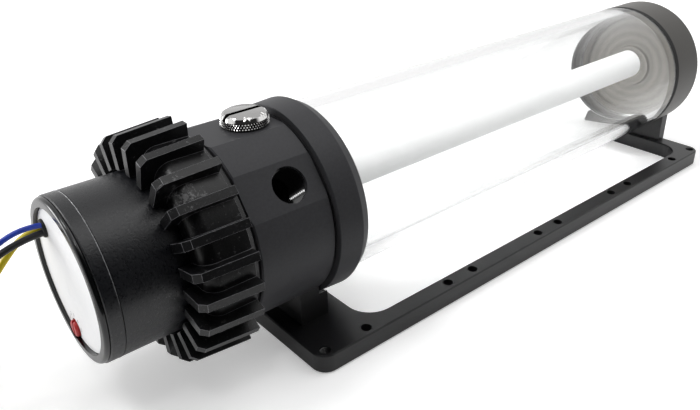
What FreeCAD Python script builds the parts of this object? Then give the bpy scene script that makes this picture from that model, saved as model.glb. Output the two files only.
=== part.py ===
import FreeCAD, Part
import math
import os
import Sketcher
from FreeCAD import Placement, Rotation, Vector

# Pump and tube reservoir of a computer's cooling loop, lying on a flat bracket. Millimetres.
# The origin is the middle of the rail's hole row, on the bracket's underside. +X runs along the reservoir
# from the pump to the end cap, +Z is up, and -Y is the side where the rail is.

doc = FreeCAD.newDocument("pump_reservoir")
sheet = doc.addObject("Spreadsheet::Sheet", "Sizes")

SIZES = {
    # Bracket: one rail with fan holes, a wide foot under the pump and a narrow one under the cap.
    "bracket_length": 273.5,
    "bracket_depth": 71.5,
    "plate_thickness": 8,
    "rail_width": 8,
    "near_foot": 28.2,
    "far_foot": 8.5,
    "outer_corner": 6,
    "inner_corner": 10.5,
    "tip_corner": 2,
    "edge_break": 0.5,
    "hole_radius": 2.15,
    "pitch_gap": 15,
    "pitch_one_fan": 105,
    "pitch_inner_pair": 135,
    "pitch_two_fans": 225,
    "pitch_wide_fans": 264.5,
    # Legs between the plate and the round parts, with one screw near each end.
    "axis_offset": 41.5,
    "axis_height": 49,
    "pump_leg_half": 24.5,
    "pump_leg_start": -130,
    "pump_leg_length": 12.6,
    "pump_leg_height": 14.2,
    "cap_leg_half": 23,
    "cap_leg_length": 5.5,
    "cap_leg_height": 14.9,
    "screw_half_gap": 14,
    "screw_radius": 1.25,
    "screw_hole_radius": 1.3,
    "screw_sink": 1.3,
    "screw_top": 25,
    "pump_screw_station": -126,
    "cap_screw_inset": 3.3,
    # Reservoir: cap, gasket, tube and collar.
    "cap_radius": 34.8,
    "cap_length": 20.95,
    "cap_socket_radius": 33,
    "cap_socket_depth": 5.7,
    "cap_recess": 1.5,
    "cap_recess_radius": 27,
    "cap_hub_radius": 11,
    "cap_hub_height": 1.5,
    "gasket_thickness": 3,
    "gasket_bore": 32.9,
    "tube_radius": 35,
    "tube_bore": 30,
    "tube_length": 229.8,
    "tube_neck_radius": 32.8,
    "tube_neck_length": 8.6,
    "collar_radius": 39,
    "collar_face_radius": 38,
    "collar_nose_radius": 36.2,
    "collar_bore": 35.1,
    "collar_band": 5.2,
    "collar_cone": 9,
    "return_radius": 7,
    "return_bore": 5,
    "return_offset": 12.5,
    "return_length": 216,
    "return_socket": 6,
    # Pump top: turned body with milled flats for the threaded ports.
    "top_radius": 36.3,
    "top_length": 30.7,
    "boss_radius": 33.7,
    "boss_length": 10,
    "neck_radius": 33,
    "neck_length": 1.1,
    "seat_length": 3.2,
    "spigot_radius": 29.7,
    "spigot_length": 9,
    "chamber_radius": 25,
    "chamber_depth": 17,
    "eye_radius": 4.8,
    "top_flat": 34.8,
    "side_flat": 35.3,
    "side_tilt": 52.4,
    "port_radius": 6.58,
    "port_depth": 14,
    "port_station": -133.4,
    "top_port_station": -131.7,
    "channel_radius": 4,
    "drain_offset": 19.5,
    "drain_reach": 18,
    "face_seal_inner": 27.4,
    "face_seal_outer": 30,
    "face_seal_depth": 1.3,
    # Closing plugs of the ports.
    "plug_head_radius": 8.5,
    "plug_head_height": 4.7,
    "plug_chamfer_width": 1.9,
    "plug_chamfer_height": 0.9,
    "plug_shank_radius": 6.5,
    "plug_shank_length": 8,
    "plug_slot": 2,
    "plug_ring_radius": 7.35,
    "plug_ring_section": 0.65,
    # Lock ring with grip ribs.
    "ring_front": -181.5,
    "ring_length": 28.5,
    "ring_barrel": 38,
    "ring_lip": 37,
    "ring_bore": 34,
    "ring_can_bore": 29.5,
    "ring_wall": 4.7,
    "ring_round": 5.3,
    "rib_radius": 42.5,
    "rib_front_radius": 38.2,
    "rib_rise": 4.7,
    "rib_end": 26.2,
    "rib_foot_radius": 29.8,
    "rib_width": 3,
    "rib_count": 24,
    "rib_turn": 2.4,
    # Motor: can, cup, rotor and winding.
    "can_radius": 29,
    "can_bore": 26.5,
    "can_length": 35.55,
    "flange_radius": 33,
    "flange_length": 3.2,
    "cup_radius": 22.8,
    "cup_wall": 0.8,
    "ball_radius": 3,
    "post_radius": 1.5,
    "ball_gap": 0.05,
    "rotor_radius": 20.5,
    "rotor_bore": 3.4,
    "impeller_radius": 22.5,
    "vane_width": 1.6,
    "vane_count": 6,
    "core_radius": 26.4,
    "core_bore": 21,
    "board_radius": 25.5,
    # Rear cover with its label, dial and cable bush.
    "cover_radius": 28.6,
    "cover_round": 1.2,
    "label_radius": 25.2,
    "dial_radius": 3.1,
    "dial_side": 6,
    "dial_drop": -22.2,
    "bush_radius": 4.1,
    "bush_side": 16,
    "bush_rise": 13.3,
    # Leads, wound into one coil beside the pump.
    "supply_lead": 2.3,
    "signal_lead": 1.8,
    "coil_pitch": 2.4,
    "lane_pitch": 2.7,
    "coil_station": -246,
    "coil_side": 85.5,
    "coil_radius": 12.9,
    "coil_rest": 1.1,
    "coil_turns": 3,
}
for row, (alias, value) in enumerate(SIZES.items(), 1):
    sheet.set(f"A{row}", alias)
    sheet.set(f"B{row}", str(value))
    sheet.setAlias(f"B{row}", alias)
doc.recompute()


class Measure:
    """A length with its value and the formula that ties it to the sheet."""

    def __init__(self, value, formula):
        self.value = float(value)
        self.formula = formula

    def __add__(self, other):
        other = measure(other)
        return Measure(self.value + other.value, f"({self.formula} + {other.formula})")

    def __sub__(self, other):
        other = measure(other)
        return Measure(self.value - other.value, f"({self.formula} - {other.formula})")

    def __mul__(self, factor):
        return Measure(self.value * factor, f"({self.formula} * {factor})")

    def __neg__(self):
        return Measure(-self.value, f"(0 - {self.formula})")


def measure(value):
    return value if isinstance(value, Measure) else Measure(value, repr(float(value)))


def size(alias):
    return Measure(SIZES[alias], f"Sizes.{alias}")


def leg_of(hypotenuse, side):
    """The other leg of a right triangle, used where a sphere meets a plane or a bore."""
    value = math.sqrt(hypotenuse.value ** 2 - side.value ** 2)
    return Measure(value, f"sqrt(({hypotenuse.formula})^2 - ({side.formula})^2)")


def place(thing, base, turn=None):
    """Puts a piece at a bound position, turned about one axis where it has to be."""
    axis, angle = turn or (Vector(1, 0, 0), measure(0))
    spot = Vector(*[measure(part).value for part in base])
    thing.Placement = Placement(spot, Rotation(axis, angle.value))
    for name, part in zip("xyz", base):
        thing.setExpression(f"Placement.Base.{name}", measure(part).formula)
    if turn:
        thing.setExpression("Placement.Rotation.Angle", angle.formula)


pieces = []


def new_body(label, base, turn=None):
    body = doc.addObject("PartDesign::Body", label)
    body.Label = label
    place(body, base, turn)
    pieces.append(body)
    return body


def new_sketch(body, plane, tilt=None, lift=None):
    """A sketch on one of the body's own planes, tilted about X or lifted off the plane."""
    sketch = body.newObject("Sketcher::SketchObject", f"{body.Name}_sketch")
    support = [feature for feature in body.Origin.OriginFeatures if feature.Role == plane][0]
    sketch.AttachmentSupport = (support, "")
    sketch.MapMode = "FlatFace"
    if tilt:
        sketch.AttachmentOffset = Placement(Vector(), Rotation(Vector(1, 0, 0), tilt.value))
        sketch.setExpression("AttachmentOffset.Rotation.Angle", tilt.formula)
    if lift:
        sketch.AttachmentOffset = Placement(Vector(0, 0, lift.value), Rotation())
        sketch.setExpression("AttachmentOffset.Base.z", lift.formula)
    return sketch


def bind(sketch, kind, where, length):
    index = sketch.addConstraint(Sketcher.Constraint(kind, *where, length.value))
    sketch.setExpression(f"Constraints[{index}]", length.formula)


def pin_point(sketch, edge, end, point):
    """Ties a point of the sketch to its two distances from the origin."""
    axes = (("DistanceX", -2, point[0]), ("DistanceY", -1, point[1]))
    for kind, axis, length in axes:
        length = measure(length)
        if abs(length.value) < 1e-9:
            sketch.addConstraint(Sketcher.Constraint("PointOnObject", edge, end, axis))
        else:
            bind(sketch, kind, (-1, 1, edge, end), length)


def trace(sketch, path):
    """Closed outline. A point (u, v, radius, side) is reached by an arc whose centre is on that side."""
    ends = []
    for last, here in zip([path[-1]] + path[:-1], path):
        start = Vector(measure(last[0]).value, measure(last[1]).value, 0)
        finish = Vector(measure(here[0]).value, measure(here[1]).value, 0)
        if len(here) == 2:
            ends.append((sketch.addGeometry(Part.LineSegment(start, finish)), 1, 2))
            continue
        radius, side = measure(here[2]), here[3]
        middle = (start + finish) * 0.5
        chord = finish - start
        rise = math.sqrt(max(radius.value ** 2 - chord.Length ** 2 / 4, 0))
        left = Vector(-chord.y, chord.x, 0).normalize()
        centre = middle + left * side * rise
        crown = centre - left * side * radius.value
        edge = sketch.addGeometry(Part.Arc(start, crown, finish))
        ends.append((edge, 1, 2) if side > 0 else (edge, 2, 1))
        bind(sketch, "Radius", (edge,), radius)
    for (edge, _, end), (after, begin, _) in zip(ends, ends[1:] + ends[:1]):
        sketch.addConstraint(Sketcher.Constraint("Coincident", edge, end, after, begin))
    for (edge, _, end), here in zip(ends, path):
        pin_point(sketch, edge, end, here)


def circles(sketch, centres, radius):
    for centre in centres:
        start = Vector(measure(centre[0]).value, measure(centre[1]).value, 0)
        edge = sketch.addGeometry(Part.Circle(start, Vector(0, 0, 1), radius.value))
        bind(sketch, "Radius", (edge,), radius)
        pin_point(sketch, edge, 3, centre)


def feature(body, kind, sketch, length=None, reverse=False, both=False):
    made = body.newObject(f"PartDesign::{kind}", f"{body.Name}_{kind.lower()}")
    made.Profile = sketch
    if length:
        made.setExpression("Length", measure(length).formula)
    made.Reversed = reverse
    made.Midplane = both
    return made


def turned(label, base, path, turn=None):
    """A piece turned about its own X axis from a profile of stations and radii."""
    body = new_body(label, base, turn)
    sketch = new_sketch(body, "XZ_Plane")
    trace(sketch, path)
    whole = feature(body, "Revolution", sketch)
    whole.ReferenceAxis = (sketch, ["H_Axis"])
    whole.Angle = 360
    return body


def drilled(body, path, tilt=None, lift=None):
    """A hole turned about the first line of its profile, which lies on the hole's axis."""
    sketch = new_sketch(body, "XZ_Plane", tilt, lift)
    trace(sketch, path)
    hole = feature(body, "Groove", sketch)
    hole.ReferenceAxis = (sketch, ["Edge1"])
    hole.Angle = 360
    return hole


def bored(body, plane, lift, centres, radius, depth, reverse=False):
    """Round holes at several centres, cut from a lifted plane."""
    sketch = new_sketch(body, plane, lift=lift)
    circles(sketch, centres, radius)
    return feature(body, "Pocket", sketch, depth, reverse)


def milled(body, plane, path, length, tilt=None):
    """A cut that runs the same way on both sides of its sketch."""
    sketch = new_sketch(body, plane, tilt)
    trace(sketch, path)
    return feature(body, "Pocket", sketch, length, both=True)


def ring_of(body, pattern_of, count):
    """Repeats a feature evenly about the body's X axis."""
    pattern = body.newObject("PartDesign::PolarPattern", f"{body.Name}_pattern")
    pattern.Originals = [pattern_of]
    pattern.Axis = (pattern_of.Profile[0], ["H_Axis"])
    pattern.Angle = 360
    pattern.setExpression("Occurrences", count.formula)
    body.Tip = pattern
    return pattern


def seal_ring(label, base, radius, section, turn):
    ring = doc.addObject("Part::Torus", label)
    ring.Label = label
    ring.setExpression("Radius1", radius.formula)
    ring.setExpression("Radius2", section.formula)
    place(ring, base, turn)
    pieces.append(ring)


def solid_piece(label, shape):
    piece = doc.addObject("Part::Feature", label)
    piece.Label = label
    piece.Shape = shape
    pieces.append(piece)


def edges_where(shape, test):
    return [f"Edge{number}" for number, edge in enumerate(shape.Edges, 1) if test(edge)]


along_z = (Vector(0, 1, 0), measure(-90))
around_x = (Vector(0, 1, 0), measure(90))
upright = (Vector(1, 0, 0), measure(0))

axis_y = size("axis_offset")
axis_z = size("axis_height")
half_bracket = size("bracket_length") * 0.5
plate = size("plate_thickness")
break_size = size("edge_break")

# Stations along X, from the bracket's cap end back to the motor.
cap_end = half_bracket
cap_start = cap_end - size("cap_length")
tube_end = cap_start - size("gasket_thickness")
tube_start = tube_end - size("tube_length")
collar_start = tube_start - size("seat_length")
top_end = collar_start - size("neck_length")
top_start = top_end - size("top_length")
boss_start = top_start - size("boss_length")
flange_end = boss_start - size("cup_wall")
can_start = flange_end - size("flange_length") - size("can_length")

# Bracket plate: a C of flat bar, its corners rounded and its faces' edges broken. The rail carries the fan
# holes, and each foot has two countersunk holes from below for its leg.
length = size("bracket_length")
depth = size("bracket_depth")
rail = size("rail_width")
near_foot = size("near_foot")
far_line = length - size("far_foot")
bracket = new_body("bracket_plate", (-half_bracket, -(rail * 0.5), 0))
sketch = new_sketch(bracket, "XY_Plane")
trace(sketch, [(0, 0), (length, 0), (length, depth), (far_line, depth), (far_line, rail), (near_foot, rail),
               (near_foot, depth), (0, depth)])
slab = feature(bracket, "Pad", sketch, plate)
doc.recompute()


def corner(shape, points):
    """The upright edges of the plate that stand on the given corners."""
    spots = [Vector(across.value, along.value, 0) for across, along in points]

    def stands(edge):
        foot = edge.CenterOfMass
        flat = Vector(foot.x, foot.y, 0)
        level = edge.BoundBox.ZLength > plate.value / 2
        return level and any((flat - spot).Length < 0.01 for spot in spots)

    return edges_where(shape, stands)


zero = measure(0)
rounds = (
    ("outer_corner", [(zero, zero), (length, zero), (length, depth), (zero, depth), (near_foot, depth)]),
    ("inner_corner", [(near_foot, rail), (far_line, rail)]),
    ("tip_corner", [(far_line, depth)]),
)
last = slab
for radius_name, points in rounds:
    fillet = bracket.newObject("PartDesign::Fillet", f"plate_{radius_name}")
    fillet.Base = (last, corner(last.Shape, points))
    fillet.setExpression("Radius", size(radius_name).formula)
    doc.recompute()
    last = fillet

faces = [f"Face{number}" for number, face in enumerate(last.Shape.Faces, 1)
         if face.BoundBox.ZLength < 0.01]
breaks = bracket.newObject("PartDesign::Chamfer", "plate_breaks")
breaks.Base = (last, faces)
breaks.setExpression("Size", break_size.formula)

fan_holes = []
for pitch in ("pitch_gap", "pitch_one_fan", "pitch_inner_pair", "pitch_two_fans", "pitch_wide_fans"):
    reach = size(pitch) * 0.5
    fan_holes += [(half_bracket - reach, rail * 0.5), (half_bracket + reach, rail * 0.5)]
bored(bracket, "XY_Plane", None, fan_holes, size("hole_radius"), plate, reverse=True)

pump_screw = size("pump_screw_station")
cap_screw = half_bracket - size("cap_screw_inset")
screw_gap = size("screw_half_gap")
screw_spots = [(station, axis_y + screw_gap * way)
               for station in (pump_screw, cap_screw) for way in (-1, 1)]
plate_spots = [(x + half_bracket, y + rail * 0.5) for x, y in screw_spots]
holes = bored(bracket, "XY_Plane", None, plate_spots, size("screw_hole_radius"), plate, reverse=True)
doc.recompute()


def sinks(edge):
    """The lower rims of the leg screws' holes."""
    round_edge = isinstance(edge.Curve, Part.Circle)
    return (round_edge and abs(edge.Curve.Radius - SIZES["screw_hole_radius"]) < 0.01
            and edge.CenterOfMass.z < 0.01)


countersinks = bracket.newObject("PartDesign::Chamfer", "plate_countersinks")
countersinks.Base = (holes, edges_where(holes.Shape, sinks))
countersinks.setExpression("Size", size("screw_sink").formula)

# Pump leg: a block under the pump top and the collar, hollowed to their two radii.
leg_top = axis_z - plate
leg_half = size("pump_leg_half")
leg_length = size("pump_leg_length")
leg_width = leg_half * 2
leg_height = size("pump_leg_height")
leg_neck = top_end - size("pump_leg_start")
under_top = leg_top - size("top_radius")
under_collar = leg_top - size("collar_radius")
pump_leg = new_body("pump_leg", (size("pump_leg_start"), axis_y - leg_half, plate))
sketch = new_sketch(pump_leg, "YZ_Plane")
trace(sketch, [(0, 0), (leg_width, 0), (leg_width, leg_height), (0, leg_height)])
feature(pump_leg, "Pad", sketch, leg_length)
drilled(pump_leg, [(0, leg_top), (0, under_top), (leg_neck, under_top), (leg_neck, under_collar),
                   (leg_length, under_collar), (leg_length, leg_top)], lift=-leg_half)
pump_leg_spots = [(pump_screw - size("pump_leg_start"), leg_half + screw_gap * way) for way in (-1, 1)]
bored(pump_leg, "XY_Plane", None, pump_leg_spots, size("screw_hole_radius"), leg_top, reverse=True)

# Cap leg: a narrower block under the end cap.
cap_half = size("cap_leg_half")
cap_width = cap_half * 2
cap_leg_length = size("cap_leg_length")
cap_leg_height = size("cap_leg_height")
under_cap = leg_top - size("cap_radius")
cap_leg = new_body("cap_leg", (cap_end - cap_leg_length, axis_y - cap_half, plate))
sketch = new_sketch(cap_leg, "YZ_Plane")
trace(sketch, [(0, 0), (cap_width, 0), (cap_width, cap_leg_height), (0, cap_leg_height)])
feature(cap_leg, "Pad", sketch, cap_leg_length)
drilled(cap_leg, [(0, leg_top), (0, under_cap), (cap_leg_length, under_cap), (cap_leg_length, leg_top)],
        lift=-cap_half)
cap_leg_spots = [(cap_leg_length - size("cap_screw_inset"), cap_half + screw_gap * way) for way in (-1, 1)]
bored(cap_leg, "XY_Plane", None, cap_leg_spots, size("screw_hole_radius"), leg_top, reverse=True)

# Leg screws: countersunk, up through the plate and the legs into the pump top and the cap.
shank = SIZES["screw_radius"]
head_recess = 0.1
head_height = SIZES["screw_sink"] - head_recess
head_face = Vector(0, 0, head_recess)
socket_depth = 0.9
socket_radius = 0.8
screw = Part.makeCone(shank + head_height, shank, head_height, head_face)
screw = screw.fuse(Part.makeCylinder(shank, SIZES["screw_top"] - head_recess, head_face))
screw = screw.cut(Part.makeCylinder(socket_radius, socket_depth, head_face)).removeSplitter()
screws = []
for x, y in screw_spots:
    copy = screw.copy()
    copy.translate(Vector(x.value, y.value, 0))
    screws.append(copy)
solid_piece("leg_screws", Part.makeCompound(screws))

# Pump top: one turned block. Its boss carries the lock ring, its neck leaves a dark groove before the
# collar, and its spigot enters the tube. The impeller's chamber opens to the motor side.
boss = size("boss_length")
body_end = boss + size("top_length")
neck_end = body_end + size("neck_length")
seat_end = neck_end + size("seat_length")
spigot_end = seat_end + size("spigot_length")
groove_inset = 3
groove_width = 2.2
groove_depth = 2
groove_near = seat_end + groove_inset
groove_far = groove_near + groove_width
groove_floor = size("tube_bore") - groove_depth
seal_low = size("face_seal_inner")
seal_high = size("face_seal_outer")
seal_deep = size("face_seal_depth")
top_radius = size("top_radius")
top_break = top_radius - break_size
boss_radius = size("boss_radius")
neck_radius = size("neck_radius")
seat_radius = size("tube_radius")
spigot = size("spigot_radius")
eye = size("eye_radius")
chamber = size("chamber_radius")
chamber_floor = size("chamber_depth")
pump_top = turned("pump_top", (boss_start, axis_y, axis_z), [
    (0, chamber), (0, seal_low), (seal_deep, seal_low), (seal_deep, seal_high), (0, seal_high),
    (0, boss_radius), (boss, boss_radius), (boss, top_break), (boss + break_size, top_radius),
    (body_end - break_size, top_radius), (body_end, top_break), (body_end, neck_radius),
    (neck_end, neck_radius), (neck_end, seat_radius), (seat_end, seat_radius), (seat_end, spigot),
    (groove_near, spigot), (groove_near, groove_floor), (groove_far, groove_floor), (groove_far, spigot),
    (spigot_end, spigot), (spigot_end, eye), (chamber_floor, eye), (chamber_floor, chamber)])
flat_margin = 3
flat_lead = 1
flat_start = boss - flat_lead
flat_end = body_end + size("neck_length") * 0.5
flat_clear = top_radius + flat_margin
across = top_radius * 2
for tilt, distance in ((measure(0), size("top_flat")), (size("side_tilt"), size("side_flat")),
                       (-size("side_tilt"), size("side_flat"))):
    milled(pump_top, "XZ_Plane", [(flat_start, distance), (flat_end, distance), (flat_end, flat_clear),
                                  (flat_start, flat_clear)], across, tilt)

# Ports: threaded mouths in the three flats. The top one meets the suction eye, the near one feeds the
# return tube's socket, and the far one drains the chamber through a drilled channel.
port_x = size("port_station") - boss_start
top_port_x = size("top_port_station") - boss_start
port_r = size("port_radius")
channel = size("channel_radius")
port_mouth = size("side_flat") + flat_margin
port_floor = size("side_flat") - size("port_depth")
ports = ((measure(0), top_port_x, zero), (size("side_tilt"), port_x, size("return_offset")),
         (-size("side_tilt"), port_x, size("drain_reach")))
for tilt, middle, inner_end in ports:
    channel_side = middle + channel
    port_side = middle + port_r
    drilled(pump_top, [(middle, inner_end), (channel_side, inner_end), (channel_side, port_floor),
                       (port_side, port_floor), (port_side, port_mouth), (middle, port_mouth)], tilt)

tilt_angle = math.radians(SIZES["side_tilt"])


def on_tilt(radius, way):
    """A point at a radius on one of the tilted flats' centre lines, as Y and Z about the axis."""
    side = "Sizes.side_tilt"
    sideways = -way * radius.value * math.sin(tilt_angle)
    upwards = radius.value * math.cos(tilt_angle)
    return (Measure(sideways, f"(-{way} * {radius.formula} * sin({side}))"),
            Measure(upwards, f"({radius.formula} * cos({side}))"))


return_spot = on_tilt(size("return_offset"), 1)
drain_spot = on_tilt(size("drain_offset"), -1)
return_socket = size("return_socket")
bored(pump_top, "YZ_Plane", spigot_end, [return_spot], size("return_radius"), return_socket)
bored(pump_top, "YZ_Plane", spigot_end, [return_spot], size("return_bore"), spigot_end - port_x)
bored(pump_top, "YZ_Plane", port_x, [drain_spot], channel, port_x)
screw_clear = 0.5
screw_floor = size("screw_top") - axis_z + screw_clear
top_screw_spots = [(pump_screw - boss_start, screw_gap * way) for way in (-1, 1)]
bored(pump_top, "XY_Plane", screw_floor, top_screw_spots, size("screw_hole_radius"), top_radius)

# Collar: a ring round the tube's end that widens to a thin edge and then narrows towards the tube.
band = size("collar_band")
collar_end = band + size("collar_cone")
turned("tube_collar", (collar_start, axis_y, axis_z), [
    (0, size("collar_bore")), (0, size("collar_face_radius")), (band, size("collar_radius")),
    (collar_end, size("collar_nose_radius")), (collar_end, size("collar_bore"))])

# Clear tube with a turned-down neck at its far end, the ring that seals it on the spigot, the gasket round
# the neck and the return tube inside.
tube_long = size("tube_length")
neck_tip = tube_long + size("tube_neck_length")
tube_neck = size("tube_neck_radius")
turned("clear_tube", (tube_start, axis_y, axis_z), [
    (0, size("tube_bore")), (0, size("tube_radius")), (tube_long, size("tube_radius")),
    (tube_long, tube_neck), (neck_tip, tube_neck), (neck_tip, size("tube_bore"))])
seal_section = measure(1)
seal_ring("collar_seal", (boss_start + groove_near + groove_width / 2, axis_y, axis_z),
          size("tube_bore") - seal_section, seal_section, around_x)
turned("cap_gasket", (tube_end, axis_y, axis_z), [
    (0, size("gasket_bore")), (0, size("tube_radius")), (size("gasket_thickness"), size("tube_radius")),
    (size("gasket_thickness"), size("gasket_bore"))])
return_start = boss_start + spigot_end - return_socket
turned("return_tube", (return_start, axis_y + return_spot[0], axis_z + return_spot[1]), [
    (0, size("return_bore")), (0, size("return_radius")), (size("return_length"), size("return_radius")),
    (size("return_length"), size("return_bore"))])

# End cap: a disc with a socket for the tube's neck, a shallow dish in the socket's floor and a filling port
# through the hub in its middle.
cap_long = size("cap_length")
fill_port_depth = 12
port_step = cap_long - fill_port_depth
cap_radius = size("cap_radius")
hub_radius = size("cap_hub_radius")
dish_radius = size("cap_recess_radius")
socket_floor = size("cap_socket_depth")
socket_wall = size("cap_socket_radius")
dish = socket_floor + size("cap_recess")
hub_face = dish - size("cap_hub_height")
end_cap = turned("end_cap", (cap_start, axis_y, axis_z), [
    (hub_face, channel), (hub_face, hub_radius), (dish, hub_radius + break_size),
    (dish, dish_radius - break_size), (socket_floor, dish_radius), (socket_floor, socket_wall),
    (0, socket_wall), (0, cap_radius), (cap_long - break_size, cap_radius),
    (cap_long, cap_radius - break_size), (cap_long, port_r), (port_step, port_r), (port_step, channel)])
cap_screw_spots = [(cap_screw - cap_start, screw_gap * way) for way in (-1, 1)]
bored(end_cap, "XY_Plane", screw_floor, cap_screw_spots, size("screw_hole_radius"), cap_radius)

# Plugs: a slotted head over a short threaded shank, with a ring seated in a groove under the head. One
# closes the top port, the other the cap's filling port.
shank_end = size("plug_shank_length")
lift_off = 0.3
head_low = shank_end + lift_off
head_high = head_low + size("plug_head_height")
ring_radius = size("plug_ring_radius")
ring_section = size("plug_ring_section")
ring_play = 0.1
ring_gap = 0.05
ring_in = ring_radius - ring_section - ring_play
ring_out = ring_radius + ring_section + ring_play
ring_middle = shank_end + ring_section + ring_gap
ring_deep = ring_middle + ring_section + ring_play
shank_radius = size("plug_shank_radius")
head_radius = size("plug_head_radius")
shank_lead = 0.6
head_flat = head_radius - size("plug_chamfer_width")
head_shoulder = head_high - size("plug_chamfer_height")
half_slot = size("plug_slot") * 0.5
plug_path = [
    (0, 0), (0, shank_radius - shank_lead), (shank_lead, shank_radius), (head_low, shank_radius),
    (head_low, ring_in), (ring_deep, ring_in), (ring_deep, ring_out), (head_low, ring_out),
    (head_low, head_radius), (head_shoulder, head_radius), (head_high, head_flat), (head_high, 0)]
slot_low = head_high - size("plug_slot")
slot_high = head_high + size("plug_slot")
top_face = axis_z + size("top_flat")
plugs = (
    ("stop_plug", "plug_seal", (size("top_port_station"), axis_y, top_face - shank_end), along_z,
     (size("top_port_station"), axis_y, top_face - shank_end + ring_middle), upright),
    ("fill_plug", "fill_seal", (cap_end - shank_end, axis_y, axis_z), upright,
     (cap_end - shank_end + ring_middle, axis_y, axis_z), around_x),
)
for plug_name, seal_name, base, turn, seal_base, seal_turn in plugs:
    plug = turned(plug_name, base, plug_path, turn)
    milled(plug, "XY_Plane", [(slot_low, -half_slot), (slot_high, -half_slot), (slot_high, half_slot),
                              (slot_low, half_slot)], head_radius * 3)
    seal_ring(seal_name, seal_base, ring_radius, ring_section, seal_turn)

# Lock ring: a barrel with a rounded shoulder, bored for the pump top's boss and for the can, with tall
# grip ribs all round. The ribs stand free of the barrel in front, where each rises from the can's side,
# slopes to its crest and then runs back to end square.
ring_long = size("ring_length")
rib_end = size("rib_end")
barrel = size("ring_barrel")
front_wall = size("ring_wall")
shoulder = size("ring_round")
shoulder_end = front_wall + shoulder
lip = size("ring_lip")
wide_bore = size("ring_bore")
can_hole = size("ring_can_bore")
turn_gap = 0.3
step_face = flange_end - size("flange_length") - turn_gap - size("ring_front")
lock_ring = turned("lock_ring", (size("ring_front"), axis_y, axis_z), [
    (front_wall, can_hole), (front_wall, barrel - shoulder), (shoulder_end, barrel, shoulder, -1),
    (rib_end, barrel), (rib_end, lip), (ring_long, lip), (ring_long, wide_bore), (step_face, wide_bore),
    (step_face, can_hole)], (Vector(1, 0, 0), size("rib_turn")))
sketch = new_sketch(lock_ring, "XZ_Plane")
rib_sink = 2
rib_tie = 1
rib_root = barrel - rib_sink
rib_foot = size("rib_foot_radius")
trace(sketch, [(0, rib_foot), (0, size("rib_front_radius")), (size("rib_rise"), size("rib_radius")),
               (rib_end, size("rib_radius")), (rib_end, rib_root), (shoulder_end, rib_root),
               (front_wall + rib_tie, rib_foot)])
rib = feature(lock_ring, "Pad", sketch, size("rib_width"), both=True)
ring_of(lock_ring, rib, size("rib_count"))

# Motor can: a cup-shaped shell with a seam line near its rear end and the flange that the ring clamps. The
# ring that seals it lies in the pump top's face.
can_long = size("can_length")
flange_long = can_long + size("flange_length")
seam = measure(4.55)
seam_width = 0.3
seam_end = seam + seam_width
neck_step = 2
neck_wall = 3
can_edge = 0.4
can_radius = size("can_radius")
can_bore = size("can_bore")
seam_radius = can_radius - seam_width
neck_bore = can_bore - neck_step
neck_face = can_long - neck_wall
turned("motor_can", (can_start, axis_y, axis_z), [
    (0, can_bore), (0, can_radius - can_edge), (can_edge, can_radius), (seam, can_radius),
    (seam, seam_radius), (seam_end, seam_radius), (seam_end, can_radius), (can_long, can_radius),
    (can_long, size("flange_radius")), (flange_long, size("flange_radius")), (flange_long, neck_bore),
    (neck_face, neck_bore), (neck_face, can_bore)])
motor_ring_section = measure(0.64)
seal_ring("motor_seal", (boss_start + seal_deep * 0.5, axis_y, axis_z), (seal_low + seal_high) * 0.5,
          motor_ring_section, around_x)

# Isolation cup: a thin steel bowl with a flat rim, which keeps the coolant out of the winding.
cup_r = size("cup_radius")
wall = size("cup_wall")
bowl_r = cup_r - wall
cup_start = boss_start - cup_r
turned("isolation_cup", (cup_start, axis_y, axis_z), [
    (0, 0), (bowl_r, leg_of(cup_r, wall), cup_r, -1), (bowl_r, size("flange_radius")),
    (cup_r, size("flange_radius")), (cup_r, bowl_r), (wall, 0, bowl_r, 1)])

# Bearing post: a pin in the bowl's pole with a ball at its tip, on which the rotor turns.
ball = size("ball_radius")
post = size("post_radius")
ball_centre = measure(18)
post_start = boss_start - leg_of(bowl_r, post)
turned("bearing_post", (post_start, axis_y, axis_z), [
    (0, 0), (0, post), (ball_centre - leg_of(ball, post), post), (ball_centre + ball, 0, ball, -1)])

# Rotor: a hemispherical magnet behind an impeller disc with upright vanes. Its bore drops over the ball.
rotor_r = size("rotor_radius")
rotor_start = boss_start - rotor_r
bore_floor = post_start + ball_centre + ball + size("ball_gap") - rotor_start
disc_gap = 1
disc_thickness = 2
boss_height = 10
boss_core = 5
impeller = size("impeller_radius")
disc_low = rotor_r + disc_gap
disc_high = disc_low + disc_thickness
hub_end = rotor_r + boss_height
rotor = turned("rotor", (rotor_start, axis_y, axis_z), [
    (rotor_r - leg_of(rotor_r, size("rotor_bore")), size("rotor_bore")), (rotor_r, rotor_r, rotor_r, -1),
    (disc_low, rotor_r), (disc_low, impeller), (disc_high, impeller), (disc_high, boss_core),
    (hub_end, boss_core), (hub_end + boss_core, 0), (bore_floor, 0), (bore_floor, size("rotor_bore"))])
sketch = new_sketch(rotor, "XZ_Plane")
vane_sink = 1
vane_slope = 3
vane_root = boss_core - vane_sink
vane_foot = disc_low + vane_sink
trace(sketch, [(vane_foot, vane_root), (hub_end, vane_root), (hub_end, impeller - vane_slope),
               (vane_foot, impeller)])
vane = feature(rotor, "Pad", sketch, size("vane_width"), both=True)
ring_of(rotor, vane, size("vane_count"))

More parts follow.
